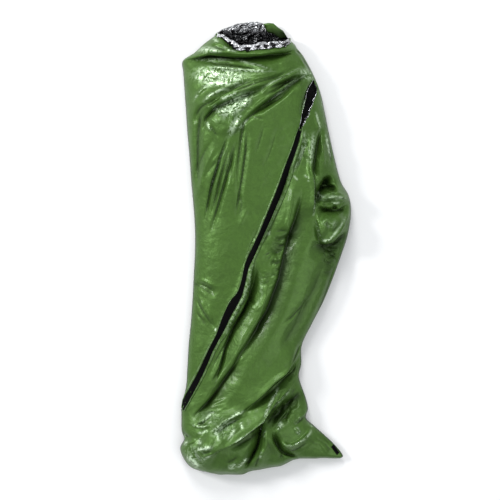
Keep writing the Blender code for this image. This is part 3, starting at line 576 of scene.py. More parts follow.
# The roll of a lip, millimetres: pairs of its share of the lip's width and height over the film
LIP_ROLL = ((0.0, 0.3), (0.25, 1.6), (0.5, 1.2), (0.75, -1.2), (1.0, -3.5))
LIP_SEAT = 3.5              # how far beside the slit the film's height is taken for it
LIP_BACK = 1.5              # how far beside the slit it starts
LIP_REACHES = (("right", 1, 6.0), ("left", -1, 2.2))    # side, sign of the way in, and width
LIP_TAPER = 0.18            # share of the slit's length over which each end of a lip runs out
LIP_RIPPLE = 0.7
TAPE_UNDER_HEM = 2
HEM_UNEVEN = 1.2
HEM_ROUGH = 0.35
# HEM_PALE and STRIP_PALE are painted light: a pale painted highlight on the hems
HEM_PALE = 0.08
STRIP_PALE = 0.12           # painted light: how much paler the right hem is painted from STRIP_START down to STRIP_END
STRIP_START, STRIP_END = -50, -310
SEAM_INSET = 2.4            # from the tape's edge to the hem's stitches
SEAM_END = 3                # places of the closure's line that its seams leave free at each end
TAB_SEAM = 0.72             # size of the tab's seam over the tab's own
TAB_RIM = 2                 # spans over which the tab's rim falls
HOOK_SHARE = 0.28           # thickness of a hook over its height
HOOK_SEED, HEM_SEED = 3, 5

# Each light: its power over the setting's, its side, its place and where it looks
LIGHTS = {
    "key_light": (1.9, 2.0, (-1.2, 4.7, 4.0), (-0.05, 0.2, 0.05)),
    "side_light": (1.8, 1.2, (-4.6, 1.9, 3.4), (0, 0, 0.05)),
    "fill_light": (6, 4.4, (2.6, -1.6, 5.2), (0, 0, 0.05)),
}
SKY = (0.93, 0.96, 1.0, 1)
SKY_STRENGTH = 0.55
FLOOR_REACH = 6.0           # from its middle to its sides
FLOOR_SPANS = 40
SENSOR_WIDTH = 36
CLIP_END = 50


# ---------------- Settings ----------------
class FilmSettings(PropertyGroup):
    """Sizes and colours of the film"""
    wall: FloatProperty(name="Wall", description="Thickness of the film as modelled",
                        default=0.0009, min=0.0003, max=0.004, unit="LENGTH")
    rows: FloatProperty(name="Row Step", description="Distance between rows of faces along the bag",
                        default=0.0036, min=0.003, max=0.05, unit="LENGTH")
    spans: IntProperty(name="Spans", description="Faces across the top", default=150, min=16, max=200)
    back_spans: IntProperty(name="Back Spans", description="Faces across the underside",
                            default=16, min=6, max=60)
    crease_depth: FloatProperty(name="Crease Depth", description="Depth of the fine creases, 1 as made",
                                default=1.35, min=0, max=2, subtype="FACTOR")
    crumple: FloatProperty(name="Crumple", description="Height of the crumpled facets",
                           default=0.0042, min=0, max=0.02, unit="LENGTH")
    seed: IntProperty(name="Seed", description="Seed of the small wrinkles", default=11)
    green: FloatVectorProperty(name="Green", description="Colour of the film's outside", subtype="COLOR",
                               size=3, min=0, max=1, default=(0.064, 0.142, 0.022))
    silver: FloatVectorProperty(name="Silver", description="Colour of the film's metallised inside",
                                subtype="COLOR", size=3, min=0, max=1, default=(0.80, 0.81, 0.83))


class ClosureSettings(PropertyGroup):
    """Sizes and colours of the side closure"""
    lift: FloatProperty(name="Lift", description="Height of the tape's face over the film",
                        default=0.0016, min=0.0002, max=0.005, unit="LENGTH")
    hem_wall: FloatProperty(name="Hem Wall", description="Thickness of the folded hems",
                            default=0.0012, min=0.0003, max=0.005, unit="LENGTH")
    stitch: FloatProperty(name="Stitch", description="Length of a stitch", default=0.0038,
                          min=0.001, max=0.02, unit="LENGTH")
    thread: FloatProperty(name="Thread", description="Thickness of the sewing thread", default=0.0006,
                          min=0.0002, max=0.003, unit="LENGTH")
    hook_pitch: FloatProperty(name="Hook Pitch", description="Least distance between hooks of the closure",
                              default=0.0022, min=0.001, max=0.01, unit="LENGTH")
    hook_height: FloatProperty(name="Hook Height", description="Height of a hook of the closure",
                               default=0.0016, min=0.0005, max=0.005, unit="LENGTH")
    black: FloatVectorProperty(name="Black", description="Colour of the tape", subtype="COLOR",
                               size=3, min=0, max=1, default=(0.0016, 0.0016, 0.0017))


class TabSettings(PropertyGroup):
    """Sizes of the foot tab"""
    lift: FloatProperty(name="Lift", description="Height of the tab's face over the film",
                        default=0.0022, min=0.0002, max=0.01, unit="LENGTH")
    rib: FloatProperty(name="Rib", description="Distance between the ribs of the webbing",
                       default=0.0022, min=0.0005, max=0.01, unit="LENGTH")


class StageSettings(PropertyGroup):
    """Light and camera"""
    height: FloatProperty(name="Camera Height", description="Height of the camera over the floor",
                          default=5.0, min=1, max=20, unit="LENGTH")
    field: FloatProperty(name="Field", description="Width of floor that the camera sees",
                         default=1.8, min=0.5, max=10, unit="LENGTH")
    key: FloatProperty(name="Key Light", description="Power of the main light in watts",
                       default=92.0, min=0, max=2000)
    fill: FloatProperty(name="Fill Light", description="Power of the soft fill in watts",
                        default=16.0, min=0, max=2000)
    floor: FloatVectorProperty(name="Floor", description="Colour of the floor", subtype="COLOR",
                               size=3, min=0, max=1, default=(0.93, 0.93, 0.93))


# ---------------- Shape functions ----------------
def smooth(share):
    share = np.clip(share, 0.0, 1.0)
    return share * share * (3 - 2 * share)


def end_fade(share, taper):
    """1 along a line but for its ends, where it falls to 0 over a share of its length."""
    return smooth(np.minimum(share, 1 - share) / taper)


def read_table(pairs, place):
    """Values at places in a table of (place, value) pairs, eased between its rows."""
    place = np.asarray(place, float)
    value = np.full(place.shape, float(pairs[0][1]))
    for (start, first), (end, last) in zip(pairs, pairs[1:]):
        value = np.where(place > start, first + (last - first) * smooth((place - start) / (end - start)),
                         value)
    return value


def catmull_rom(before, start, end, after, share):
    """Smooth value between start and end, which lean towards their neighbours."""
    return 0.5 * (
        2 * start
        + (end - before) * share
        + (2 * before - 5 * start + 4 * end - after) * share ** 2
        + (3 * start - before - 3 * end + after) * share ** 3
    )


def curved(rows, counts):
    """The rows with more between them, on smooth curves: so many steps from each to the next."""
    last = len(rows) - 1
    if isinstance(counts, int):
        counts = [counts] * last
    made = []
    for index, count in enumerate(counts):
        around = (rows[max(index - 1, 0)], rows[index], rows[index + 1], rows[min(index + 2, last)])
        for part in range(count):
            made.append([catmull_rom(*values, part / count) for values in zip(*around)])
    return made + [list(rows[-1])]


def section_rows(step):
    """Every row of the surface, foot to neck, as arrays of the sections' columns."""
    counts = []
    for row, after in zip(SECTIONS, SECTIONS[1:]):
        run = 0.5 * (hypot(after.left_x - row.left_x, after.left_y - row.left_y)
                     + hypot(after.right_x - row.right_x, after.right_y - row.right_y))
        counts.append(max(2, round(run / step)))
    return Section(*np.array(curved(SECTIONS, counts), float).T)


def across_places(spans):
    """Places across the bag from -1 to 1, even but for its edges, where they close up."""
    slope = 1 / (EVEN_SHARE + (1 - EVEN_SHARE) / 2)
    place = np.linspace(-1, 1, spans + 1)
    size = np.abs(place)
    eased = slope * (size - np.maximum(size - EVEN_SHARE, 0) ** 2 / (2 * (1 - EVEN_SHARE)))
    return np.sign(place) * np.minimum(eased, 1.0)


def near_line(line, margin, x, y):
    """Which places lie in the line's box and a margin around it."""
    xs, ys = [point[0] for point in line], [point[1] for point in line]
    return ((x > min(xs) - margin) & (x < max(xs) + margin)
            & (y > min(ys) - margin) & (y < max(ys) + margin))


def line_field(line, x, y):
    """Signed distance from a line (right of it is above 0), the share of its length there, and the
    direction to the right of it."""
    lengths = [hypot(b[0] - a[0], b[1] - a[1]) for a, b in zip(line, line[1:])]
    best = np.full(x.shape, np.inf)
    signed, share, right_x, right_y = (np.zeros(x.shape) for _ in range(4))
    run = 0.0
    for start, end, length in zip(line, line[1:], lengths):
        along_x, along_y = (end[0] - start[0]) / length, (end[1] - start[1]) / length
        reach = np.clip((x - start[0]) * along_x + (y - start[1]) * along_y, 0.0, length)
        off_x, off_y = x - start[0] - along_x * reach, y - start[1] - along_y * reach
        distance = np.hypot(off_x, off_y)
        nearer = distance < best
        side = np.where(off_x * along_y - off_y * along_x > 0, 1.0, -1.0)
        best = np.where(nearer, distance, best)
        signed = np.where(nearer, side * distance, signed)
        share = np.where(nearer, (run + reach) / sum(lengths), share)
        right_x = np.where(nearer, along_y, right_x)
        right_y = np.where(nearer, -along_x, right_y)
        run += length
    return signed, share, right_x, right_y


def add_fold(field, line, height, width, lean, crest, x, y, taper):
    """Add one fold to the field of shifts (x, y, z) and of painted shade. Its lean may make one flank a
    cliff.
    """
    near = near_line(line, FOLD_REACH * width * (1 + abs(lean)), x, y)
    if not near.any():
        return
    distance, share, right_x, right_y = line_field(line, x[near], y[near])
    wide = width * (1 - lean * np.sign(distance))
    reach = np.abs(distance / wide)
    straight = TENT_SHARE if crest < ROUND_CREST else 0.0
    tent = np.maximum(0, 1 - reach / TENT_REACH)
    shape = end_fade(share, taper) * ((1 - straight) * np.exp(-(reach ** crest)) + straight * tent)
    shape[reach > FOLD_REACH] = 0
    field[2][near] += height * shape
    shift = lean * abs(height) * FOLD_SHIFT * shape
    field[0][near] += right_x * shift
    field[1][near] += right_y * shift
    # a trough gets painted shade, darker the deeper and narrower it is
    if height < 0:
        depth = min(1.0, -SHADE_SHARE * height / width)
        field[3][near] = np.maximum(field[3][near], depth * shape ** (2 if width > BROAD_SHADE else 4))


def patch_strength(x, y):
    """How crumpled the film is at each place."""
    strength = np.full(x.shape, CALM)
    for patch in PATCHES:
        away = ((x - patch.x) / patch.radius_x) ** 2 + ((y - patch.y) / patch.radius_y) ** 2
        strength = np.maximum(strength, patch.strength * np.exp(-away ** PATCH_FALL))
    return strength


def facets(x, y, pitch, stretch, turn, seed):
    """Heights from -1 to 1 of a sheet crumpled into flat facets about a pitch wide, stretched and turned."""
    generator = np.random.default_rng(seed)
    along = x * cos(turn) + y * sin(turn)
    beside = -x * sin(turn) + y * cos(turn)
    across_u, across_v = along / (pitch * stretch), beside / pitch
    low_u, low_v = np.floor(across_u.min()) - 2, np.floor(across_v.min()) - 2
    count_u, count_v = int(across_u.max() - low_u) + 4, int(across_v.max() - low_v) + 4
    jitter = generator.uniform(-FACET_JITTER, FACET_JITTER, (count_u, count_v, 2))
    height = generator.uniform(-1, 1, (count_u, count_v))
    corners = [
        (low_u + i + jitter[i, j, 0], low_v + j + jitter[i, j, 1], height[i, j])
        for i in range(count_u) for j in range(count_v)
    ]
    triangles = []
    for i in range(count_u - 1):
        for j in range(count_v - 1):
            a, b = i * count_v + j, (i + 1) * count_v + j
            if generator.random() < 0.5:
                triangles += [(a, b, b + 1), (a, b + 1, a + 1)]
            else:
                triangles += [(a, b, a + 1), (b, b + 1, a + 1)]
    tree = BVHTree.FromPolygons(corners, triangles, all_triangles=True)
    heights = np.zeros(x.size)
    for index, (u, v) in enumerate(zip(across_u.ravel(), across_v.ravel())):
        hit = tree.ray_cast(Vector((u, v, 5)), DOWN)[0]
        heights[index] = hit.z if hit else 0
    return heights.reshape(x.shape)


def sheen_painted_at(x, y):
    """How much painted sheen, a pale painted highlight, the film has at each place."""
    pale = np.zeros(x.shape)
    for patch in SHEEN_PATCHES:
        turn = radians(patch.turn)
        along = (x - patch.x) * cos(turn) + (y - patch.y) * sin(turn)
        beside = (y - patch.y) * cos(turn) - (x - patch.x) * sin(turn)
        away = (along / patch.radius_x) ** 2 + (beside / patch.radius_y) ** 2
        pale = np.maximum(pale, patch.strength * np.exp(-away ** 2))
    for sheen in SHEENS:
        line = curved(sheen.line, 3)
        near = near_line(line, 3 * sheen.width, x, y)
        if near.any():
            distance, share, _, _ = line_field(line, x[near], y[near])
            glow = sheen.strength * end_fade(share, SHEEN_TAPER) * np.exp(-(distance / sheen.width) ** 2)
            pale[near] = np.maximum(pale[near], glow)
    return pale


def fan_lines(generator):
    """The lines of every fan's wrinkles, with their heights and half widths."""
    for fan in FANS:
        for index in range(fan.count):
            share = (index + 0.5) / fan.count - 0.5
            angle = radians(fan.direction + share * fan.spread + generator.uniform(*FAN_TURN))
            bend = radians(generator.uniform(*FAN_BEND))
            start = fan.length * generator.uniform(*FAN_START)
            length = fan.length * generator.uniform(*FAN_LENGTH)
            x, y = fan.x + start * cos(angle), fan.y + start * sin(angle)
            points = [(x, y)]
            for _ in range(FAN_STEPS):
                x += length / FAN_STEPS * cos(angle)
                y += length / FAN_STEPS * sin(angle)
                angle += bend / FAN_STEPS
                points.append((x, y))
            side = -1 if index % 2 else 1
            height = side * fan.height * generator.uniform(*FAN_HEIGHT)
            yield points, height, generator.uniform(*FAN_WIDTH)


def seen_plan(x, y, height):
    """The plan places that lie under the film's own, seen from the view's height."""
    scale = VIEW_HEIGHT / (VIEW_HEIGHT - height)
    return VIEW_MIDDLE[0] + (x - VIEW_MIDDLE[0]) * scale, VIEW_MIDDLE[1] + (y - VIEW_MIDDLE[1]) * scale


def relief(x, y, film):
    """Shift of each place of the top by its main folds and by its fine creases, the painted shade of the
    folds it lies in, how crumpled it is and its painted sheen."""
    folds = [np.zeros(x.shape) for _ in range(4)]
    for fold in filled(Fold, FOLDS.values()):
        crest = SHARP_CREST if fold.width < WIDE_FOLD else ROUND_CREST
        add_fold(folds, fold.line, fold.height, fold.width, fold.lean, crest, x, y, FOLD_TAPER)
    fine = [np.zeros(x.shape) for _ in range(3)] + [folds[3]]
    for crease in CREASES:
        add_fold(fine, curved(crease.line, 4), crease.height * film.crease_depth, crease.width,
                 crease.lean, CREASE_CREST, x, y, CREASE_TAPER)
    for line, height, width in fan_lines(np.random.default_rng(film.seed)):
        add_fold(fine, line, height * film.crease_depth, width, 0, CREASE_CREST, x, y, FAN_TAPER)
    rough = patch_strength(x, y)
    fine[2] += film.crumple / MM * rough * sum(
        weight * facets(x, y, pitch, stretch, turn, film.seed + index)
        for index, (pitch, stretch, turn, weight) in enumerate(FACETS, 1)
    )
    return folds[:3], fine[:3], folds[3], rough, sheen_painted_at(x, y)


def edge_height(crown):
    return np.minimum(EDGE_HEIGHT, EDGE_SHARE * crown)


def plan_points(rows, across, neck_edge):
    """Places of the rows in plan at each place across, with the bowed foot seam and neck edge."""
    share = (across[None, :] + 1) / 2
    left_x, right_x = rows.left_x[:, None], rows.right_x[:, None]
    left_y, right_y = rows.left_y[:, None], rows.right_y[:, None]
    x = left_x + (right_x - left_x) * share
    y = left_y + (right_y - left_y) * share
    middle = (left_y + right_y) / 2
    for section, edge, side in ((SECTIONS[0], FOOT_EDGE, 1), (SECTIONS[-1], neck_edge, -1)):
        near = smooth(1 - side * (middle - (section.left_y + section.right_y) / 2) / END_FADE)
        y = y + near * read_table(edge, section.left_x + (section.right_x - section.left_x) * share)
    return x, y


def top_surface(rows, across, film):
    """The top, millimetres: points as (rows, places, 3), and the painted shade, rough and painted sheen
    values of each.
    """
    x, y = plan_points(rows, across, NECK_FRONT)
    crown = rows.crown[:, None]
    edge = edge_height(crown)
    size = np.abs(across)
    round_top = np.sqrt(np.maximum(1 - size ** CROWN_POWER, 0)) * (1 + rows.tilt[:, None] * across)
    plain = edge + (crown - edge) * round_top
    low = np.sqrt(crown / max(section.crown for section in SECTIONS))
    folds, fine, shade, rough, pale = relief(*seen_plan(x, y, plain), film)
    fold_weight = low * (1 - size ** FOLD_EDGE_POWER)
    fine_weight = low * (1 - size ** CREASE_EDGE_POWER)
    shifts = [fold * fold_weight + crease * fine_weight for fold, crease in zip(folds, fine)]
    points = np.stack([x + shifts[0], y + shifts[1], plain + shifts[2]], axis=-1)
    return points, shade, rough, pale * smooth((1 - size) / PALE_EDGE)


def bottom_surface(rows, across):
    """The underside, millimetres: flat on the floor but for its rising edges and collar."""
    x, y = plan_points(rows, across, NECK_BACK)
    rise = np.maximum(np.abs(across) - FLAT_SHARE, 0) / (1 - FLAT_SHARE)
    collar = smooth((y - COLLAR_START) / END_FADE) * COLLAR_RISE
    z = edge_height(rows.crown[:, None]) * rise ** RISE_POWER + collar * (1 - np.abs(across) ** COLLAR_POWER)
    return np.stack([x, y, z], axis=-1)


def back_along(column, distance):
    """The point of a column that lies a distance back from its last one."""
    for end, start in zip(column[::-1], column[-2::-1]):
        length = np.linalg.norm(end - start)
        if distance <= length:
            return end + (start - end) * (distance / max(length, 1e-6))
        distance -= length
    return column[0]


def turned_edge(column, width, radius, ripple):
    """Rows that roll the end of a column up and over and lay it back along the column for a width."""
    ease = float(smooth(width / (2 * radius)))
    radius = radius * ease
    last = column[-1]
    rolled = []
    for step in range(1, TURN_ARC_STEPS + 1):
        angle = pi * step / TURN_ARC_STEPS
        rolled.append(last + np.array((0, radius * sin(angle), radius * (1 - cos(angle)))))
    for step in range(1, TURN_RUN_STEPS + 1):
        share = step / TURN_RUN_STEPS
        back = back_along(column, width * share)
        rolled.append(back + np.array((0, 0, 2 * radius * (1 - TURN_SAG * share) + ripple * share)))
    plain = [last + np.array((0, PLAIN_STEP * (step + 1), 0)) for step in range(len(rolled))]
    return [flat + (turned - flat) * ease for flat, turned in zip(plain, rolled)]


def outline_distance(x, y, outline):
    """Whether places are inside an outline, their distance from it, and the nearest point on it."""
    inside = np.zeros(x.shape, bool)
    best = np.full(x.shape, np.inf)
    near_x, near_y = x.copy(), y.copy()
    for (ax, ay), (bx, by) in zip(outline, outline[1:] + outline[:1]):
        inside ^= ((ay > y) != (by > y)) & (x < (bx - ax) * (y - ay) / (by - ay + 1e-9) + ax)
        length = hypot(bx - ax, by - ay)
        reach = np.clip(((x - ax) * (bx - ax) + (y - ay) * (by - ay)) / length ** 2, 0, 1)
        on_x, on_y = ax + (bx - ax) * reach, ay + (by - ay) * reach
        distance = np.hypot(x - on_x, y - on_y)
        nearer = distance < best
        best = np.where(nearer, distance, best)
        near_x, near_y = np.where(nearer, on_x, near_x), np.where(nearer, on_y, near_y)
    return inside, best, near_x, near_y


def directions(line):
    """The unit direction along a line at each of its points."""
    along = np.gradient(line, axis=0)
    return along / np.linalg.norm(along, axis=1)[:, None]


# ---------------- Nodes ----------------
def connect(tree, socket, value):
    """Link an output to a socket, or give the socket a value of its own."""
    if isinstance(value, bpy.types.NodeSocket):
        tree.links.new(value, socket)
    else:
        socket.default_value = value


def fill(tree, target, **values):
    """Give a node its values: one whose name starts with a capital goes to that input, and any other to
    the node's own property."""
    for name, value in values.items():
        if name[0].islower():
            setattr(target, name, value)
        else:
            connect(tree, target.inputs[name.replace("_", " ")], value)
    return target


def node(tree, kind, **values):
    return fill(tree, tree.nodes.new(kind), **values)


def math_node(tree, operation, first, second, clamp=False):
    made = node(tree, "ShaderNodeMath", operation=operation, use_clamp=clamp)
    connect(tree, made.inputs[0], first)
    connect(tree, made.inputs[1], second)
    return made.outputs[0]


def new_tree(name, kind, inputs, outputs):
    """A node group with named inputs and outputs, each with its kind of socket or, for a plain value, its
    default; returns it with its two end nodes."""
    tree = bpy.data.node_groups.new(name, kind)
    for side, sockets in (("INPUT", inputs), ("OUTPUT", outputs)):
        for label, given in sockets.items():
            plain = not isinstance(given, str)
            socket = tree.interface.new_socket(name=label, in_out=side,
                                               socket_type="NodeSocket" + ("Float" if plain else given))
            if plain:
                socket.default_value = given
    return tree, tree.nodes.new("NodeGroupInput"), tree.nodes.new("NodeGroupOutput")


def shared_group(name, maker):
    return bpy.data.node_groups.get(name) or maker()


# ---------------- Materials ----------------
def ramp_node(tree, factor, *stops):
    """A map from a value to a value between 0 and 1, by (place, value) stops."""
    made = tree.nodes.new("ShaderNodeValToRGB")
    elements = made.color_ramp.elements
    while len(elements) < len(stops):
        elements.new(0.5)
    for element, (place, value) in zip(elements, stops):
        element.position = place
        element.color = (value, value, value, 1)
    tree.links.new(factor, made.inputs[0])
    return made.outputs[0]


def mix_colour(tree, factor, first, second, blend="MIX"):
    made = node(tree, "ShaderNodeMix", data_type="RGBA", blend_type=blend)
    for slot, value in ((0, factor), (6, first), (7, second)):
        connect(tree, made.inputs[slot], (*value, 1) if isinstance(value, tuple) else value)
    return made.outputs[2]


def tinted(colour, share):
    return tuple(min(1.0, value * share) for value in colour)


def crinkle_group():
    """Film crinkle: sharp little facets at two scales. Puts out a height, a soft mottling mask and a value
    that changes from facet to facet."""
    group, start, end = new_tree("film_crinkle", "ShaderNodeTree",
                                 {"Vector": "Vector", "Scale": 40.0, "Amount": 1.0},
                                 {"Height": "Float", "Mottle": "Float", "Facet": "Float"})
    place, scale = start.outputs["Vector"], start.outputs["Scale"]
    warp = node(group, "ShaderNodeTexNoise", Vector=place, Scale=18.0, Detail=2.0)
    push = node(group, "ShaderNodeVectorMath", operation="MULTIPLY_ADD")
    for socket, value in zip(push.inputs, (warp.outputs["Color"], (0.05, 0.05, 0.05), place)):
        connect(group, socket, value)
    heights = []
    for share, factor in ((1.0, 1.0), (0.45, 2.7)):
        cells = node(group, "ShaderNodeTexVoronoi", feature="F1", distance="MINKOWSKI", Exponent=0.9,
                     Vector=push.outputs[0], Scale=math_node(group, "MULTIPLY", scale, factor))
        heights.append(math_node(group, "MULTIPLY", cells.outputs["Distance"], share))
    cloud = node(group, "ShaderNodeTexNoise", Detail=5.0, Roughness=0.62, Vector=push.outputs[0],
                 Scale=math_node(group, "MULTIPLY", scale, 0.5))
    height = math_node(group, "ADD", *heights)
    fill(group, end, Height=math_node(group, "MULTIPLY", height, start.outputs["Amount"]),
         Mottle=cloud.outputs["Fac"], Facet=cells.outputs["Color"])
    return group


def weave_group():
    """Ribbed webbing: crossing threads. Puts out a height and a thread mask."""
    group, start, end = new_tree("webbing_weave", "ShaderNodeTree",
                                 {"Vector": "Vector", "Threads": 900.0},
                                 {"Height": "Float", "Thread": "Float"})
    place = start.outputs["Vector"]
    threads = []
    for direction, share in (("X", 0.65), ("Y", 0.35)):
        wave = node(group, "ShaderNodeTexWave", bands_direction=direction, Vector=place,
                    Scale=start.outputs["Threads"], Distortion=0.6, Detail=1.0)
        threads.append(math_node(group, "MULTIPLY", wave.outputs["Fac"], share))
    height = math_node(group, "ADD", *threads)
    fuzz = node(group, "ShaderNodeTexNoise", Vector=place, Scale=900.0, Detail=3.0)
    fill(group, end, Height=height, Thread=math_node(group, "MULTIPLY", height, fuzz.outputs["Fac"]))
    return group


def crinkle(tree, place, scale, amount):
    return node(tree, "ShaderNodeGroup", node_tree=shared_group("film_crinkle", crinkle_group),
                Vector=place, Scale=scale, Amount=amount).outputs


def bump(tree, height, strength, distance):
    made = node(tree, "ShaderNodeBump", Height=height, Strength=strength, Distance=distance)
    return made.outputs["Normal"]


def attribute(tree, name):
    return node(tree, "ShaderNodeAttribute", attribute_name=name).outputs["Fac"]


def start_material(name):
    """A new material, its tree, its shader, and Object coordinates for its patterns."""
    made = bpy.data.materials.new(name)
    made.use_nodes = True
    tree = made.node_tree
    return made, tree, tree.nodes["Principled BSDF"], node(tree, "ShaderNodeTexCoord").outputs["Object"]


def green_film(settings):
    """Green metallised film: satin where it is smooth, glossy where it is crumpled, with painted sheen (pale
    painted highlights) along creases and in patches, and painted shade in its folds and along its edges."""
    made, tree, shader, place = start_material("film_outside")
    green = tuple(settings.green)
    pale = attribute(tree, "pale")
    crumpled = math_node(tree, "POWER", attribute(tree, "rough"), 2.0)
    amount = math_node(tree, "ADD", math_node(tree, "MULTIPLY", crumpled, 0.9), 0.32)
    film = crinkle(tree, place, 46.0, amount)
    mottle = ramp_node(tree, film["Mottle"], (0.32, 0.0), (0.70, 1.0))
    colour = mix_colour(tree, mottle, tinted(green, 0.92), tinted(green, 1.12))
    facet = ramp_node(tree, film["Facet"], (0, 0.2), (1, 1.0))
    colour = mix_colour(tree, 0.20, colour, facet, "MULTIPLY")
    # painted shade: the green is darkened in folds and along the side edges
    shade = math_node(tree, "MULTIPLY", attribute(tree, "shade"), 0.92, clamp=True)
    colour = mix_colour(tree, shade, colour, tinted(green, 0.10))
    # painted sheen: pale painted highlight along creases and in patches, broken up by the facets
    pale_facet = ramp_node(tree, film["Facet"], (0.32, 0.05), (0.64, 1.0))
    line_core = ramp_node(tree, pale, (0.78, 0.0), (0.95, 0.8))
    painted_glint = math_node(tree, "MULTIPLY", pale, math_node(tree, "MAXIMUM", pale_facet, line_core), clamp=True)
    gloss = ramp_node(tree, film["Mottle"], (0.3, 0.50), (0.72, 0.38))
    smoother = math_node(tree, "MULTIPLY", pale, -0.18)
    fill(tree, shader, Base_Color=mix_colour(tree, painted_glint, colour, SHEEN_COLOUR), Metallic=0.40,
         Roughness=math_node(tree, "ADD", gloss, smoother), Specular_IOR_Level=0.3,
         Coat_Weight=0.10, Coat_Roughness=0.14, Normal=bump(tree, film["Height"], 0.32, 0.004))
    return made


def silver_film(settings):
    """The bright inside of the film, crumpled, with painted reflections on its facets and painted shade."""
    made, tree, shader, place = start_material("film_inside")
    silver = tuple(settings.silver)
    film = crinkle(tree, place, 48.0, 1.6)
    # painted reflection: facets painted near black or bright silver, with darker painted patches
    facet = ramp_node(tree, film["Facet"], (0.18, 0.0), (0.26, 0.45), (0.40, 1.0))
    colour = mix_colour(tree, facet, tinted(silver, 0.015), silver)
    dark_reflection = ramp_node(tree, film["Mottle"], (0.40, 0.40), (0.50, 1.0))
    colour = mix_colour(tree, 1.0, colour, dark_reflection, "MULTIPLY")
    # painted shade in the cuff's pleats and inside beyond the neck
    fill(tree, shader, Base_Color=mix_colour(tree, attribute(tree, "shade"), colour, tinted(silver, 0.01)),
         Metallic=1.0, Roughness=ramp_node(tree, film["Mottle"], (0.3, 0.34), (0.7, 0.16)),
         Normal=bump(tree, film["Height"], 0.9, 0.006))
    return made


def woven_black(name, settings, threads):
    """Matt black woven tape."""
    made, tree, shader, place = start_material(name)
    weave = node(tree, "ShaderNodeGroup", node_tree=shared_group("webbing_weave", weave_group),
                 Vector=place, Threads=threads).outputs
    dark, light = tinted(settings.black, 0.5), tinted(settings.black, 2.2)
    fill(tree, shader, Metallic=0.0, Specular_IOR_Level=0.07,
         Base_Color=mix_colour(tree, weave["Thread"], dark, light),
         Roughness=ramp_node(tree, weave["Thread"], (0.0, 0.95), (0.6, 0.7)),
         Normal=bump(tree, weave["Height"], 0.5, 0.0006))
    return made


def thread_black(settings):
    """Black sewing thread and nylon hooks, a little glossier than the tape."""
    made, tree, shader, place = start_material("sewing_thread")
    twist = node(tree, "ShaderNodeTexNoise", Vector=place, Scale=1400.0, Detail=2.0).outputs["Fac"]
    fill(tree, shader, Metallic=0.0, Roughness=0.5, Normal=bump(tree, twist, 0.3, 0.0003),
         Base_Color=mix_colour(tree, twist, tinted(settings.black, 1), tinted(settings.black, 3.5)))
    return made


def floor_paper(settings):
    """Plain pale floor with the faintest grain."""
    made, tree, shader, place = start_material("studio_floor")
    grain = node(tree, "ShaderNodeTexNoise", Vector=place, Scale=6.0, Detail=3.0).outputs["Fac"]
    fill(tree, shader, Metallic=0.0, Roughness=0.9, Specular_IOR_Level=0.1,
         Base_Color=mix_colour(tree, grain, tinted(settings.floor, 0.985), tinted(settings.floor, 1)))
    return made


def material(name):
    """One of the materials, made when it is first asked for."""
    scene = bpy.context.scene
    makers = {
        "film_outside": lambda: green_film(scene.bag_film),
        "film_inside": lambda: silver_film(scene.bag_film),
        "woven_tape": lambda: woven_black("woven_tape", scene.bag_closure, 320.0),
        "woven_tab": lambda: woven_black("woven_tab", scene.bag_closure, 220.0),
        "sewing_thread": lambda: thread_black(scene.bag_closure),
        "studio_floor": lambda: floor_paper(scene.bag_stage),
    }
    return bpy.data.materials.get(name) or makers[name]()


# ---------------- Mesh helpers ----------------
def add_object(name, data, *finishes):
    made = bpy.data.objects.new(name, data)
    bpy.context.scene.collection.objects.link(made)
    for finish in finishes:
        data.materials.append(material(finish))
    return made


def apply_modifiers(target):
    """Make what the modifiers show the object's own mesh."""
    shown = target.evaluated_get(bpy.context.evaluated_depsgraph_get())
    mesh = bpy.data.meshes.new_from_object(shown, preserve_all_data_layers=True,
                                           depsgraph=bpy.context.evaluated_depsgraph_get())
    target.modifiers.clear()
    target.data = mesh


def give_wall(target, thickness, **values):
    """Give an open surface a wall on its inner side."""
    wall = target.modifiers.new("wall", "SOLIDIFY")
    wall.thickness = thickness
    wall.offset = -1
    for name, value in values.items():
        setattr(wall, name, value)
    apply_modifiers(target)
    return target


def grid_faces(rows, columns, closed=False):
    """Faces of a grid of points, row by row."""
    faces = []
    last = columns if closed else columns - 1
    for row in range(rows - 1):
        for column in range(last):
            after = (column + 1) % columns
            low, high = row * columns, (row + 1) * columns
            faces.append((low + column, low + after, high + after, high + column))
    return faces


def set_values(mesh, name, values):
    layer = mesh.attributes.new(name, "FLOAT", "POINT")
    layer.data.foreach_set("value", np.asarray(values, np.float32).ravel())


def ride_and_finish(piece, slot, *nodes):
    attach(piece, BODY)
    if nodes:
        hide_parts(*nodes)


def film_tree(*others):
    """A tree of the faces of the film, and of the other pieces named, to lay pieces on."""
    points, faces = [], []
    for name in ("film_chest", "film_legs") + others:
        mesh = bpy.data.objects[name].data
        first = len(points)
        points += [vertex.co for vertex in mesh.vertices]
        faces += [[first + corner for corner in face.vertices] for face in mesh.polygons]
    return BVHTree.FromPolygons(points, faces)


def drop_on(tree, x, y, lowest=0.0):
    """The film's point straight under a place, millimetres, or beside it towards the middle where the
    place is past the film or the film there is lower than the lowest height."""
    towards = -1 if x > VIEW_MIDDLE[0] else 1
    for step in range(DROP_STEPS):
        hit = tree.ray_cast(Vector((x * MM + towards * step * MM, y * MM, 1.0)), DOWN)[0]
        if hit and hit.z >= lowest:
            return hit
    raise RuntimeError(f"no film near {x:.0f}, {y:.0f}")


def laid_strip(name, points, columns, wall, *finishes):
    """A thin strip of rows of points, with its upper side out and a wall's thickness."""
    mesh = bpy.data.meshes.new(name)
    mesh.from_pydata(points, [], grid_faces(len(points) // columns, columns))
    bm = bmesh.new()
    bm.from_mesh(mesh)
    bm.normal_update()
    if sum(face.normal.z * face.calc_area() for face in bm.faces) < 0:
        bmesh.ops.reverse_faces(bm, faces=bm.faces)
    bm.to_mesh(mesh)
    bm.free()
    mesh.shade_smooth()
    return give_wall(add_object(name, mesh, *finishes), wall)


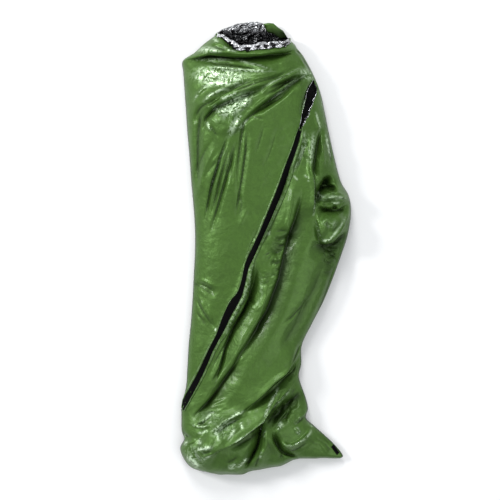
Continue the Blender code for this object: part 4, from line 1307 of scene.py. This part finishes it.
# ---------------- Geometry trees of what repeats ----------------
def repeat_tree(name, sizes):
    """A geometry tree with named inputs for its sizes and its material; returns it with its two ends."""
    shape = {"Geometry": "Geometry"}
    return new_tree(name, "GeometryNodeTree", {**shape, **sizes, "Material": "Material"}, shape)


def end_tree(tree, start, end, **placed):
    """Set instances on points, and end a tree in real geometry of one material."""
    instances = node(tree, "GeometryNodeInstanceOnPoints", **placed).outputs["Instances"]
    real = node(tree, "GeometryNodeRealizeInstances", Geometry=instances).outputs["Geometry"]
    finish = node(tree, "GeometryNodeSetMaterial", Geometry=real, Material=start.outputs["Material"])
    fill(tree, end, Geometry=finish.outputs["Geometry"])
    return tree


def stitch_tree():
    """A run of stitches along each line of edges: one small rounded stitch every length and gap."""
    tree, start, end = repeat_tree("stitch_run", {"Length": "Float", "Gap": "Float", "Thickness": "Float"})
    length, thickness = start.outputs["Length"], start.outputs["Thickness"]
    curve = node(tree, "GeometryNodeMeshToCurve", Mesh=start.outputs["Geometry"])
    spread = node(tree, "GeometryNodeCurveToPoints", mode="LENGTH", Curve=curve.outputs["Curve"],
                  Length=math_node(tree, "ADD", length, start.outputs["Gap"]))
    turn = node(tree, "FunctionNodeAlignRotationToVector", axis="Z", Vector=spread.outputs["Tangent"])
    stitch = node(tree, "GeometryNodeMeshUVSphere", Segments=6, Rings=4, Radius=0.5)
    size = node(tree, "ShaderNodeCombineXYZ", X=thickness, Y=thickness, Z=length)
    return end_tree(tree, start, end, Points=spread.outputs["Points"], Instance=stitch.outputs["Mesh"],
                    Rotation=turn.outputs["Rotation"], Scale=size.outputs["Vector"])


def hook_tree():
    """Small bent hooks over the faces that look up, each turned its own way."""
    tree, start, end = repeat_tree("hook_field", {"Pitch": "Float", "Height": "Float",
                                                  "Thickness": "Float", "Seed": "Int"})
    given = start.outputs
    normal = node(tree, "GeometryNodeInputNormal").outputs["Normal"]
    up = node(tree, "ShaderNodeSeparateXYZ", Vector=normal).outputs["Z"]
    scatter = node(tree, "GeometryNodeDistributePointsOnFaces", distribute_method="POISSON",
                   Density_Max=300000.0, Mesh=given["Geometry"], Distance_Min=given["Pitch"],
                   Selection=math_node(tree, "GREATER_THAN", up, 0.5), Seed=given["Seed"])
    bend = node(tree, "GeometryNodeCurveQuadraticBezier", Resolution=3, Start=(0, 0, 0))
    for label, along, lift in (("Middle", 0.1, 1.5), ("End", 0.75, 0.55)):
        reach = node(tree, "ShaderNodeCombineXYZ", X=math_node(tree, "MULTIPLY", given["Height"], along),
                     Z=math_node(tree, "MULTIPLY", given["Height"], lift))
        connect(tree, bend.inputs[label], reach.outputs["Vector"])
    ring = node(tree, "GeometryNodeCurvePrimitiveCircle", Resolution=4,
                Radius=math_node(tree, "MULTIPLY", given["Thickness"], 0.5))
    hook = node(tree, "GeometryNodeCurveToMesh", Curve=bend.outputs["Curve"],
                Profile_Curve=ring.outputs["Curve"], Fill_Caps=True)
    chance = node(tree, "FunctionNodeRandomValue", data_type="FLOAT_VECTOR", Seed=given["Seed"])
    chance.inputs[0].default_value = (-0.3, -0.3, -pi)
    chance.inputs[1].default_value = (0.3, 0.3, pi)
    own = node(tree, "FunctionNodeEulerToRotation", Euler=chance.outputs[0])
    turn = node(tree, "FunctionNodeRotateRotation", rotation_space="LOCAL",
                Rotation=scatter.outputs["Rotation"], Rotate_By=own.outputs["Rotation"])
    return end_tree(tree, start, end, Points=scatter.outputs["Points"], Instance=hook.outputs["Mesh"],
                    Rotation=turn.outputs["Rotation"])


def grow(target, name, maker, **values):
    """Run a geometry tree on an object with its own values, and keep what it makes as the mesh."""
    tree = shared_group(name, maker)
    made = target.modifiers.new(name, "NODES")
    made.node_group = tree
    for item in tree.interface.items_tree:
        if item.item_type == "SOCKET" and item.in_out == "INPUT" and item.name in values:
            made[item.identifier] = values[item.name]
    apply_modifiers(target)
    if not target.data.polygons:
        raise RuntimeError(f"{name} made nothing on {target.name}")
    ride_and_finish(target, "black_tape")


# ---------------- Film ----------------
def turned_rows(surface, widths, radius, generator, ripple):
    """A surface with the turned rows beyond its last one."""
    turned = []
    for column in range(surface.shape[1]):
        lift = float(generator.uniform(-ripple, ripple))
        turned.append(turned_edge(surface[:, column], float(widths[column]), radius, lift))
    return np.concatenate([surface, np.transpose(np.array(turned), (1, 0, 2))])


def jagged(widths, generator, depth):
    """Edge widths made uneven, as a crumpled hem falls in teeth."""
    teeth = np.zeros(len(widths))
    place = 0
    while place < len(widths):
        run = int(generator.integers(3, 8))
        peak = generator.uniform(-depth, depth)
        for step in range(run):
            if place + step < len(widths):
                teeth[place + step] += peak * (1 - abs(2 * step / run - 1))
        place += run
    return np.where(widths > 2, np.maximum(widths + teeth, 1.0), widths)


def close_foot(faces, top, bottom, x_of):
    """Join the top's and the underside's first rows along the foot's seam, left to right."""
    upper, lower = 0, 0
    while upper < len(top) - 1 or lower < len(bottom) - 1:
        upper_next = x_of[top[upper + 1]] if upper < len(top) - 1 else np.inf
        lower_next = x_of[bottom[lower + 1]] if lower < len(bottom) - 1 else np.inf
        if upper_next <= lower_next:
            corners = (top[upper], bottom[lower], top[upper + 1])
            upper += 1
        else:
            corners = (top[upper], bottom[lower], bottom[lower + 1])
            lower += 1
        if len(set(corners)) == 3:
            faces.append(corners)


def closure_cut():
    """The line along which the two panels part: the closure, carried on to the bag's edges."""
    head = [(row.left_x / 2 + row.right_x / 2, row.y) for row in reversed(SLIT)]
    return CUT_HEAD + head + [(row.x, row.y) for row in CLOSURE_TAPE[1:]] + CUT_FOOT


def slit_outline():
    """The outline of the open stretch of the closure."""
    return [(row.left_x, row.y) for row in SLIT] + [(row.right_x, row.y) for row in reversed(SLIT)]


def cuff_shade(place):
    """Painted shade of the cuff's pleats and of the stretch beside them, by its points' x, row by row."""
    run = (np.arange(len(place))[:, None] - TURN_ARC_STEPS) / TURN_RUN_STEPS
    wandered = place + PLEAT_WANDER * np.sin(place / WANDER_WAVE)
    tooth = np.abs((wandered / PLEAT_PITCH) % 1 * 2 - 1) * (1 + PLEAT_UNEVEN * np.sin(place / UNEVEN_WAVE))
    pleated = (place > PLEATED[0]) & (place < PLEATED[1]) & (run > 0.1) & (run < tooth * 1.15 - 0.1)
    tucked = (place > TUCKED_FROM) & (place < PLEATED[0]) & (run > 0.4)
    return np.where(pleated | tucked, 1.0, 0.0)


def back_shade(y):
    """The painted shade inside, beyond the neck, by the underside's y; the very edge of the collar is left
    light.
    """
    depth = smooth((y.max() - y - COLLAR_LIGHT) / COLLAR_RUN)
    return INSIDE_SHADE * depth * smooth((y - INSIDE_START) / INSIDE_RUN)


def film_sheet(film):
    """The film's points as (rows, columns, 3), millimetres, the top's columns first and then the
    underside's; the finish values of each; and how many rows and columns the plain top has."""
    rows = section_rows(film.rows / MM)
    across = across_places(film.spans)
    back = across_places(film.back_spans)[-2:0:-1]
    top, shade, rough, pale = top_surface(rows, across, film)
    bottom = bottom_surface(rows, back)
    generator = np.random.default_rng(film.seed + 7)
    cuff = jagged(read_table(CUFF, across), generator, CUFF_TEETH)
    points = np.concatenate([
        turned_rows(top, cuff, CUFF_RADIUS, generator, CUFF_RIPPLE),
        turned_rows(bottom, read_table(CORNER, back), CORNER_RADIUS, generator, CORNER_RIPPLE),
    ], axis=1)
    plain, wide = len(top), len(across)
    values = {"shade": np.zeros(points.shape[:2]), "rough": np.full(points.shape[:2], CALM),
              "pale": np.zeros(points.shape[:2])}
    # painted shade along the side edges, over the folds' painted shade
    rim = RIM_SHADE * smooth((np.abs(across) - (1 - RIM_SHARE)) / RIM_SHARE)
    values["shade"][:plain, :wide] = np.maximum(shade, rim)
    values["shade"][plain:, :wide] = cuff_shade(points[plain:, :wide, 0])
    values["shade"][:, wide:] = back_shade(points[:, wide:, 1])
    values["rough"][:plain, :wide] = rough
    values["rough"][plain:, :wide] = CUFF_CRUMPLE
    # painted sheen of the top: painted highlights
    values["pale"][:plain, :wide] = pale
    return points, values, plain, wide


def snap_to(plan, distance, near_x, near_y):
    """Move the points of a plan that lie near a cut onto it."""
    snap = distance < CUT_REACH
    plan[..., 0][snap] = near_x[snap]
    plan[..., 1][snap] = near_y[snap]


def panel(name, flat, faces, values):
    """One panel: the faces given, with the points that they use and those points' values."""
    used = sorted({corner for face in faces for corner in face})
    place = {corner: index for index, corner in enumerate(used)}
    mesh = bpy.data.meshes.new(name)
    mesh.from_pydata((flat[used] * MM).tolist(), [], [[place[corner] for corner in face] for face in faces])
    for label, array in values.items():
        set_values(mesh, label, array.ravel()[used])
    mesh.shade_smooth()
    return mesh


def film_panels(film):
    """The film as two open surfaces, green side out, that part along the closure, with its slit open."""
    points, values, plain, wide = film_sheet(film)
    count, columns = points.shape[:2]
    outline = slit_outline()
    cut = closure_cut()
    plan = points[:plain, :wide, :2]
    x, y = plan[..., 0].copy(), plan[..., 1].copy()
    distance, _, right_x, right_y = line_field(cut, x, y)
    snap_to(plan, np.abs(distance), x - right_x * distance, y - right_y * distance)
    snap_to(plan, *outline_distance(x, y, outline)[1:])

    flat = points.reshape(-1, 3)
    faces = grid_faces(count, columns, closed=True)
    middle = flat[np.array(faces)].mean(axis=1)
    index = np.arange(len(faces))
    over = index % columns < wide - 1
    in_slit = outline_distance(middle[:, 0], middle[:, 1], outline)[0] & over & (index // columns < plain)
    beyond = outline_distance(middle[:, 0], middle[:, 1], cut + CUT_RETURN)[0]
    chest = over & ~beyond
    chest_faces = [face for face, mine, gone in zip(faces, chest, in_slit) if mine and not gone]
    leg_faces = [face for face, other, gone in zip(faces, chest, in_slit) if not other and not gone]
    first_bottom = [0] + list(range(columns - 1, wide - 1, -1)) + [wide - 1]
    close_foot(leg_faces, range(wide), first_bottom, flat[:, 0])
    return {
        "film_chest": panel("film_chest", flat, chest_faces, values),
        "film_legs": panel("film_legs", flat, leg_faces, values),
    }


class BAG_OT_film(Operator):
    """Make the bag's two film panels, green outside and silver inside"""
    bl_idname = "bag.film"
    bl_label = "Film"

    def execute(self, context):
        film = context.scene.bag_film
        for name, mesh in film_panels(film).items():
            made = add_object(name, mesh, "film_outside", "film_inside")
            give_wall(made, film.wall, material_offset=1)
            ride_and_finish(made, "green_film")
        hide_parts("bag_shell")
        return {"FINISHED"}


# ---------------- Closure tape and hems ----------------
def tape_line(step):
    """Places along the closure, head end first: x, y, width, and the direction to the left of it."""
    counts = [max(1, round(hypot(after.x - row.x, after.y - row.y) / step))
              for row, after in zip(CLOSURE_TAPE, CLOSURE_TAPE[1:])]
    line = np.array(curved(CLOSURE_TAPE, counts), float)
    along = directions(line[:, :2])
    left = np.stack([along[:, 1], -along[:, 0]], axis=1)
    left *= np.sign(-left[:, :1] + 1e-9)
    return line, left


def ribbon(name, line, starts, ends, heights, tree, wall, finish):
    """A thin ribbon laid on the film: from starts to ends beside the line, raised by heights."""
    points = []
    for (x, y, _), (side_x, side_y), start, end in zip(*line, starts, ends):
        for index, height in enumerate(heights):
            off = start + (end - start) * index / (len(heights) - 1)
            points.append(drop_on(tree, x + side_x * off, y + side_y * off) + Vector((0, 0, height)))
    return laid_strip(name, points, len(heights), wall, finish)


def crowned(height, spans, edge):
    """Heights across a ribbon: full in its middle, down to the edge's at both sides."""
    return [edge + (height - edge) * (1 - abs(2 * index / (spans - 1) - 1) ** 6) for index in range(spans)]


def hem_widths(line):
    """Left and right hem widths along the closure."""
    place = -line[:, 1]
    return (read_table([(-row.y, row.left) for row in HEMS], place),
            read_table([(-row.y, row.right) for row in HEMS], place))


class BAG_OT_closure_tape(Operator):
    """Lay the closure tape on the film"""
    bl_idname = "bag.closure_tape"
    bl_label = "Closure Tape"

    def execute(self, context):
        closure = context.scene.bag_closure
        line = tape_line(4.0)
        half = line[0][:, 2] / 2
        made = ribbon("closure_tape_face", line, -half - TAPE_UNDER_HEM, half + TAPE_UNDER_HEM,
                      crowned(closure.lift, 7, TAPE_EDGE), film_tree("closure_open_face"), TAPE_WALL,
                      "woven_tape")
        ride_and_finish(made, "black_tape", "closure_tape")
        return {"FINISHED"}


class BAG_OT_hems(Operator):
    """Lay the turned-over film edges along both sides of the closure tape"""
    bl_idname = "bag.hems"
    bl_label = "Hems"

    def execute(self, context):
        closure = context.scene.bag_closure
        line = tape_line(3.0)
        half = line[0][:, 2] / 2
        heights = [closure.lift + extra for extra in HEM_HEIGHTS]
        tree = film_tree("closure_open_face")
        generator = np.random.default_rng(HEM_SEED)
        for side, sign, widths in zip(("left", "right"), (1, -1), hem_widths(line[0])):
            uneven = generator.uniform(-HEM_UNEVEN, HEM_UNEVEN, len(half))
            uneven = np.convolve(uneven, np.ones(4) / 4, mode="same")
            made = ribbon("closure_hem_" + side, line, sign * (half + uneven * 0.4),
                          sign * (half + widths + uneven), heights, tree, closure.hem_wall, "film_outside")
            down = np.array([vertex.co.y for vertex in made.data.vertices]) / MM
            strip = smooth((STRIP_START - down) / 20) * smooth((down - STRIP_END) / 30) * (side == "right")
            set_values(made.data, "rough", np.full(len(down), HEM_ROUGH))
            set_values(made.data, "shade", np.zeros(len(down)))
            # painted light: the hems, the right hem's strip most, get painted sheen
            set_values(made.data, "pale", HEM_PALE + STRIP_PALE * strip)
            ride_and_finish(made, "green_film")
        return {"FINISHED"}


class BAG_OT_slit_lips(Operator):
    """Turn the film's silver side out along the open stretch of the closure"""
    bl_idname = "bag.slit_lips"
    bl_label = "Slit Lips"

    def execute(self, context):
        tree = film_tree()
        generator = np.random.default_rng(context.scene.bag_film.seed + 20)
        for side, sign, reach in LIP_REACHES:
            line = np.array(curved([(getattr(row, side + "_x"), row.y) for row in SLIT], 8), float)
            along = directions(line)
            inward = np.stack([-along[:, 1], along[:, 0]], axis=1) * sign
            share = np.linspace(0, 1, len(line))
            ends = smooth(np.minimum(share, share[::-1]) / LIP_TAPER)
            teeth = np.abs(jagged(np.full(len(line), reach), generator, reach * 0.6)) * ends + 0.4
            points = []
            for (x, y), (in_x, in_y), wide in zip(line, inward, teeth):
                on_film = drop_on(tree, x - in_x * LIP_SEAT, y - in_y * LIP_SEAT, LIP_LOWEST)
                for part, lift in LIP_ROLL:
                    off = part * wide - LIP_BACK
                    height = lift + float(generator.uniform(-LIP_RIPPLE, LIP_RIPPLE)) * part
                    points.append(((x + off * in_x) * MM, (y + off * in_y) * MM, on_film.z + height * MM))
            made = laid_strip("slit_lip_" + side, points, len(LIP_ROLL), LIP_WALL, "film_inside")
            ride_and_finish(made, "silver_film")
        return {"FINISHED"}


class BAG_OT_open_half(Operator):
    """Lay the open half of the closure behind the slit"""
    bl_idname = "bag.open_half"
    bl_label = "Open Closure Half"

    def execute(self, context):
        low, high = (corner[2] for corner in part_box("closure_tape_open_half"))
        wall = context.scene.bag_film.wall
        tree = film_tree()
        rows = [[a + (b - a) * part / 6 for a, b in zip(row, after)]
                for row, after in zip(SLIT, SLIT[1:]) for part in range(6)] + [SLIT[-1]]
        points = []
        spans = 9
        for left_x, right_x, y in rows:
            left = drop_on(tree, left_x - OPEN_HALF_MARGIN, y)
            right = drop_on(tree, right_x + OPEN_HALF_MARGIN, y)
            for index in range(spans):
                share = index / (spans - 1)
                dip = OPEN_HALF_DIP * (1 - (2 * share - 1) ** 2)
                x = left.x + (right.x - left.x) * share
                z = left.z + (right.z - left.z) * share - wall - OPEN_HALF_GAP - dip
                points.append((x, y * MM, min(max(z, low), high)))
        made = laid_strip("closure_open_face", points, spans, TAPE_WALL, "woven_tape")
        ride_and_finish(made, "black_tape", "closure_tape_open_half")
        return {"FINISHED"}


class BAG_OT_hooks(Operator):
    """Set the hooks of the closure on its open half"""
    bl_idname = "bag.hooks"
    bl_label = "Closure Hooks"

    def execute(self, context):
        closure = context.scene.bag_closure
        made = add_object("closure_hooks", bpy.data.objects["closure_open_face"].data.copy())
        grow(made, "hook_field", hook_tree, Pitch=closure.hook_pitch, Height=closure.hook_height,
             Thickness=closure.hook_height * HOOK_SHARE, Seed=HOOK_SEED, Material=material("sewing_thread"))
        return {"FINISHED"}


class BAG_OT_stitches(Operator):
    """Sew the hems to the tape, and the tab to the toe"""
    bl_idname = "bag.stitches"
    bl_label = "Stitches"

    def execute(self, context):
        closure = context.scene.bag_closure
        tree = film_tree("closure_tape_face", "closure_hem_left", "closure_hem_right", "foot_tab_face")
        raised = Vector((0, 0, closure.thread * 0.25))
        rows, side = tape_line(3.0)
        lines = []
        for sign, widths in zip((1, -1), hem_widths(rows)):
            off = sign * (rows[:, 2] / 2 + np.minimum(SEAM_INSET, widths * 0.5))
            lines.append((rows[:, :2] + side * off[:, None])[SEAM_END:-SEAM_END])
        corners = np.array(FOOT_TAB, float)
        inner = corners.mean(axis=0) + (corners - corners.mean(axis=0)) * TAB_SEAM
        for start, end in zip(inner, np.roll(inner, -1, axis=0)):
            lines.append([start + (end - start) * step / 8 for step in range(9)])
        points, edges = [], []
        for line in lines:
            edges += [(len(points) + index, len(points) + index + 1) for index in range(len(line) - 1)]
            points += [drop_on(tree, x, y) + raised for x, y in line]
        mesh = bpy.data.meshes.new("closure_stitches")
        mesh.from_pydata(points, edges, [])
        grow(add_object("closure_stitches", mesh), "stitch_run", stitch_tree, Length=closure.stitch,
             Gap=closure.stitch * 0.4, Thickness=closure.thread, Material=material("sewing_thread"))
        return {"FINISHED"}


# ---------------- Foot tab ----------------
class BAG_OT_foot_tab(Operator):
    """Lay the woven tab on the toe"""
    bl_idname = "bag.foot_tab"
    bl_label = "Foot Tab"

    def execute(self, context):
        tab = context.scene.bag_tab
        tree = film_tree()
        first, second, _, fourth = (np.array(corner, float) for corner in FOOT_TAB)
        long_side, short_side = second - first, fourth - first
        length = np.linalg.norm(long_side) * MM
        steps_long, steps_short = 36, 12
        points = []
        for i in range(steps_long + 1):
            for j in range(steps_short + 1):
                share, side = i / steps_long, j / steps_short
                place = first + long_side * share + short_side * side
                rim = min(share * steps_long, (1 - share) * steps_long,
                          side * steps_short, (1 - side) * steps_short, TAB_RIM) / TAB_RIM
                rib = TAB_RIB * cos(2 * pi * share * length / tab.rib)
                lift = TAB_EDGE + (tab.lift - TAB_EDGE + rib) * rim
                points.append(drop_on(tree, *place) + Vector((0, 0, lift)))
        made = laid_strip("foot_tab_face", points, steps_short + 1, TAB_WALL, "woven_tab")
        ride_and_finish(made, "black_tab", "foot_tab")
        return {"FINISHED"}


# ---------------- Stage ----------------
def aim(target, place, look_at):
    """Turn a light or camera at a place to look at a point."""
    back = (Vector(place) - Vector(look_at)).normalized()
    right = Vector((0, 1, 0)).cross(back).normalized()
    turned = Matrix((right, back.cross(right), back)).transposed().to_4x4()
    turned.translation = Vector(place)
    target.matrix_world = turned


class BAG_OT_stage(Operator):
    """Make the floor, the lights and the camera"""
    bl_idname = "bag.stage"
    bl_label = "Stage"

    def execute(self, context):
        stage = context.scene.bag_stage
        bm = bmesh.new()
        bmesh.ops.create_grid(bm, x_segments=FLOOR_SPANS, y_segments=FLOOR_SPANS, size=FLOOR_REACH)
        mesh = bpy.data.meshes.new("floor")
        bm.to_mesh(mesh)
        bm.free()
        add_object("floor", mesh, "studio_floor")

        powers = {"key_light": stage.key, "side_light": stage.key, "fill_light": stage.fill}
        for name, (share, side, place, look_at) in LIGHTS.items():
            lamp = bpy.data.lights.new(name, "AREA")
            lamp.size = side
            lamp.energy = powers[name] * share
            aim(add_object(name, lamp), place, look_at)

        world = bpy.data.worlds.new("studio_world")
        context.scene.world = world
        world.use_nodes = True
        background = world.node_tree.nodes["Background"]
        background.inputs["Color"].default_value = SKY
        background.inputs["Strength"].default_value = SKY_STRENGTH
        context.scene.view_settings.view_transform = "Standard"

        camera = bpy.data.cameras.new("camera")
        camera.sensor_width = SENSOR_WIDTH
        camera.lens = SENSOR_WIDTH * stage.height / stage.field
        camera.clip_end = CLIP_END
        made = add_object("camera", camera)
        middle = [value * MM for value in VIEW_MIDDLE]
        aim(made, (*middle, stage.height), (*middle, 0))
        context.scene.camera = made
        return {"FINISHED"}


class BAG_PT_panel(Panel):
    """Makes the bag's pieces and sets their sizes"""
    bl_idname = "BAG_PT_panel"
    bl_label = "Sleeping Bag"
    bl_space_type = "VIEW_3D"
    bl_region_type = "UI"
    bl_category = "Bag"

    def draw(self, context):
        layout = self.layout
        for group, operators in GROUPS:
            box = layout.box()
            settings = getattr(context.scene, group)
            for name in settings.bl_rna.properties.keys():
                if name not in ("rna_type", "name"):
                    box.prop(settings, name)
            for operator in operators:
                box.operator(operator.bl_idname)


SETTINGS = {
    "bag_film": FilmSettings,
    "bag_closure": ClosureSettings,
    "bag_tab": TabSettings,
    "bag_stage": StageSettings,
}
GROUPS = (
    ("bag_film", (BAG_OT_film,)),
    ("bag_closure", (BAG_OT_open_half, BAG_OT_hooks, BAG_OT_closure_tape, BAG_OT_hems,
                     BAG_OT_slit_lips, BAG_OT_stitches)),
    ("bag_tab", (BAG_OT_foot_tab,)),
    ("bag_stage", (BAG_OT_stage,)),
)
CLASSES = (
    *SETTINGS.values(),
    BAG_OT_stage,
    BAG_OT_film,
    BAG_OT_closure_tape,
    BAG_OT_hems,
    BAG_OT_slit_lips,
    BAG_OT_open_half,
    BAG_OT_hooks,
    BAG_OT_foot_tab,
    BAG_OT_stitches,
    BAG_PT_panel,
)


def register():
    for made in CLASSES:
        bpy.utils.register_class(made)
    for name, group in SETTINGS.items():
        setattr(bpy.types.Scene, name, PointerProperty(type=group))


def unregister():
    for name in SETTINGS:
        delattr(bpy.types.Scene, name)
    for made in reversed(CLASSES):
        bpy.utils.unregister_class(made)


def main():
    register()
    bpy.ops.bag.stage()
    bpy.ops.bag.film()
    bpy.ops.bag.open_half()
    bpy.ops.bag.hooks()
    bpy.ops.bag.closure_tape()
    bpy.ops.bag.hems()
    bpy.ops.bag.slit_lips()
    bpy.ops.bag.foot_tab()
    bpy.ops.bag.stitches()


if __name__ == "__main__":
    main()
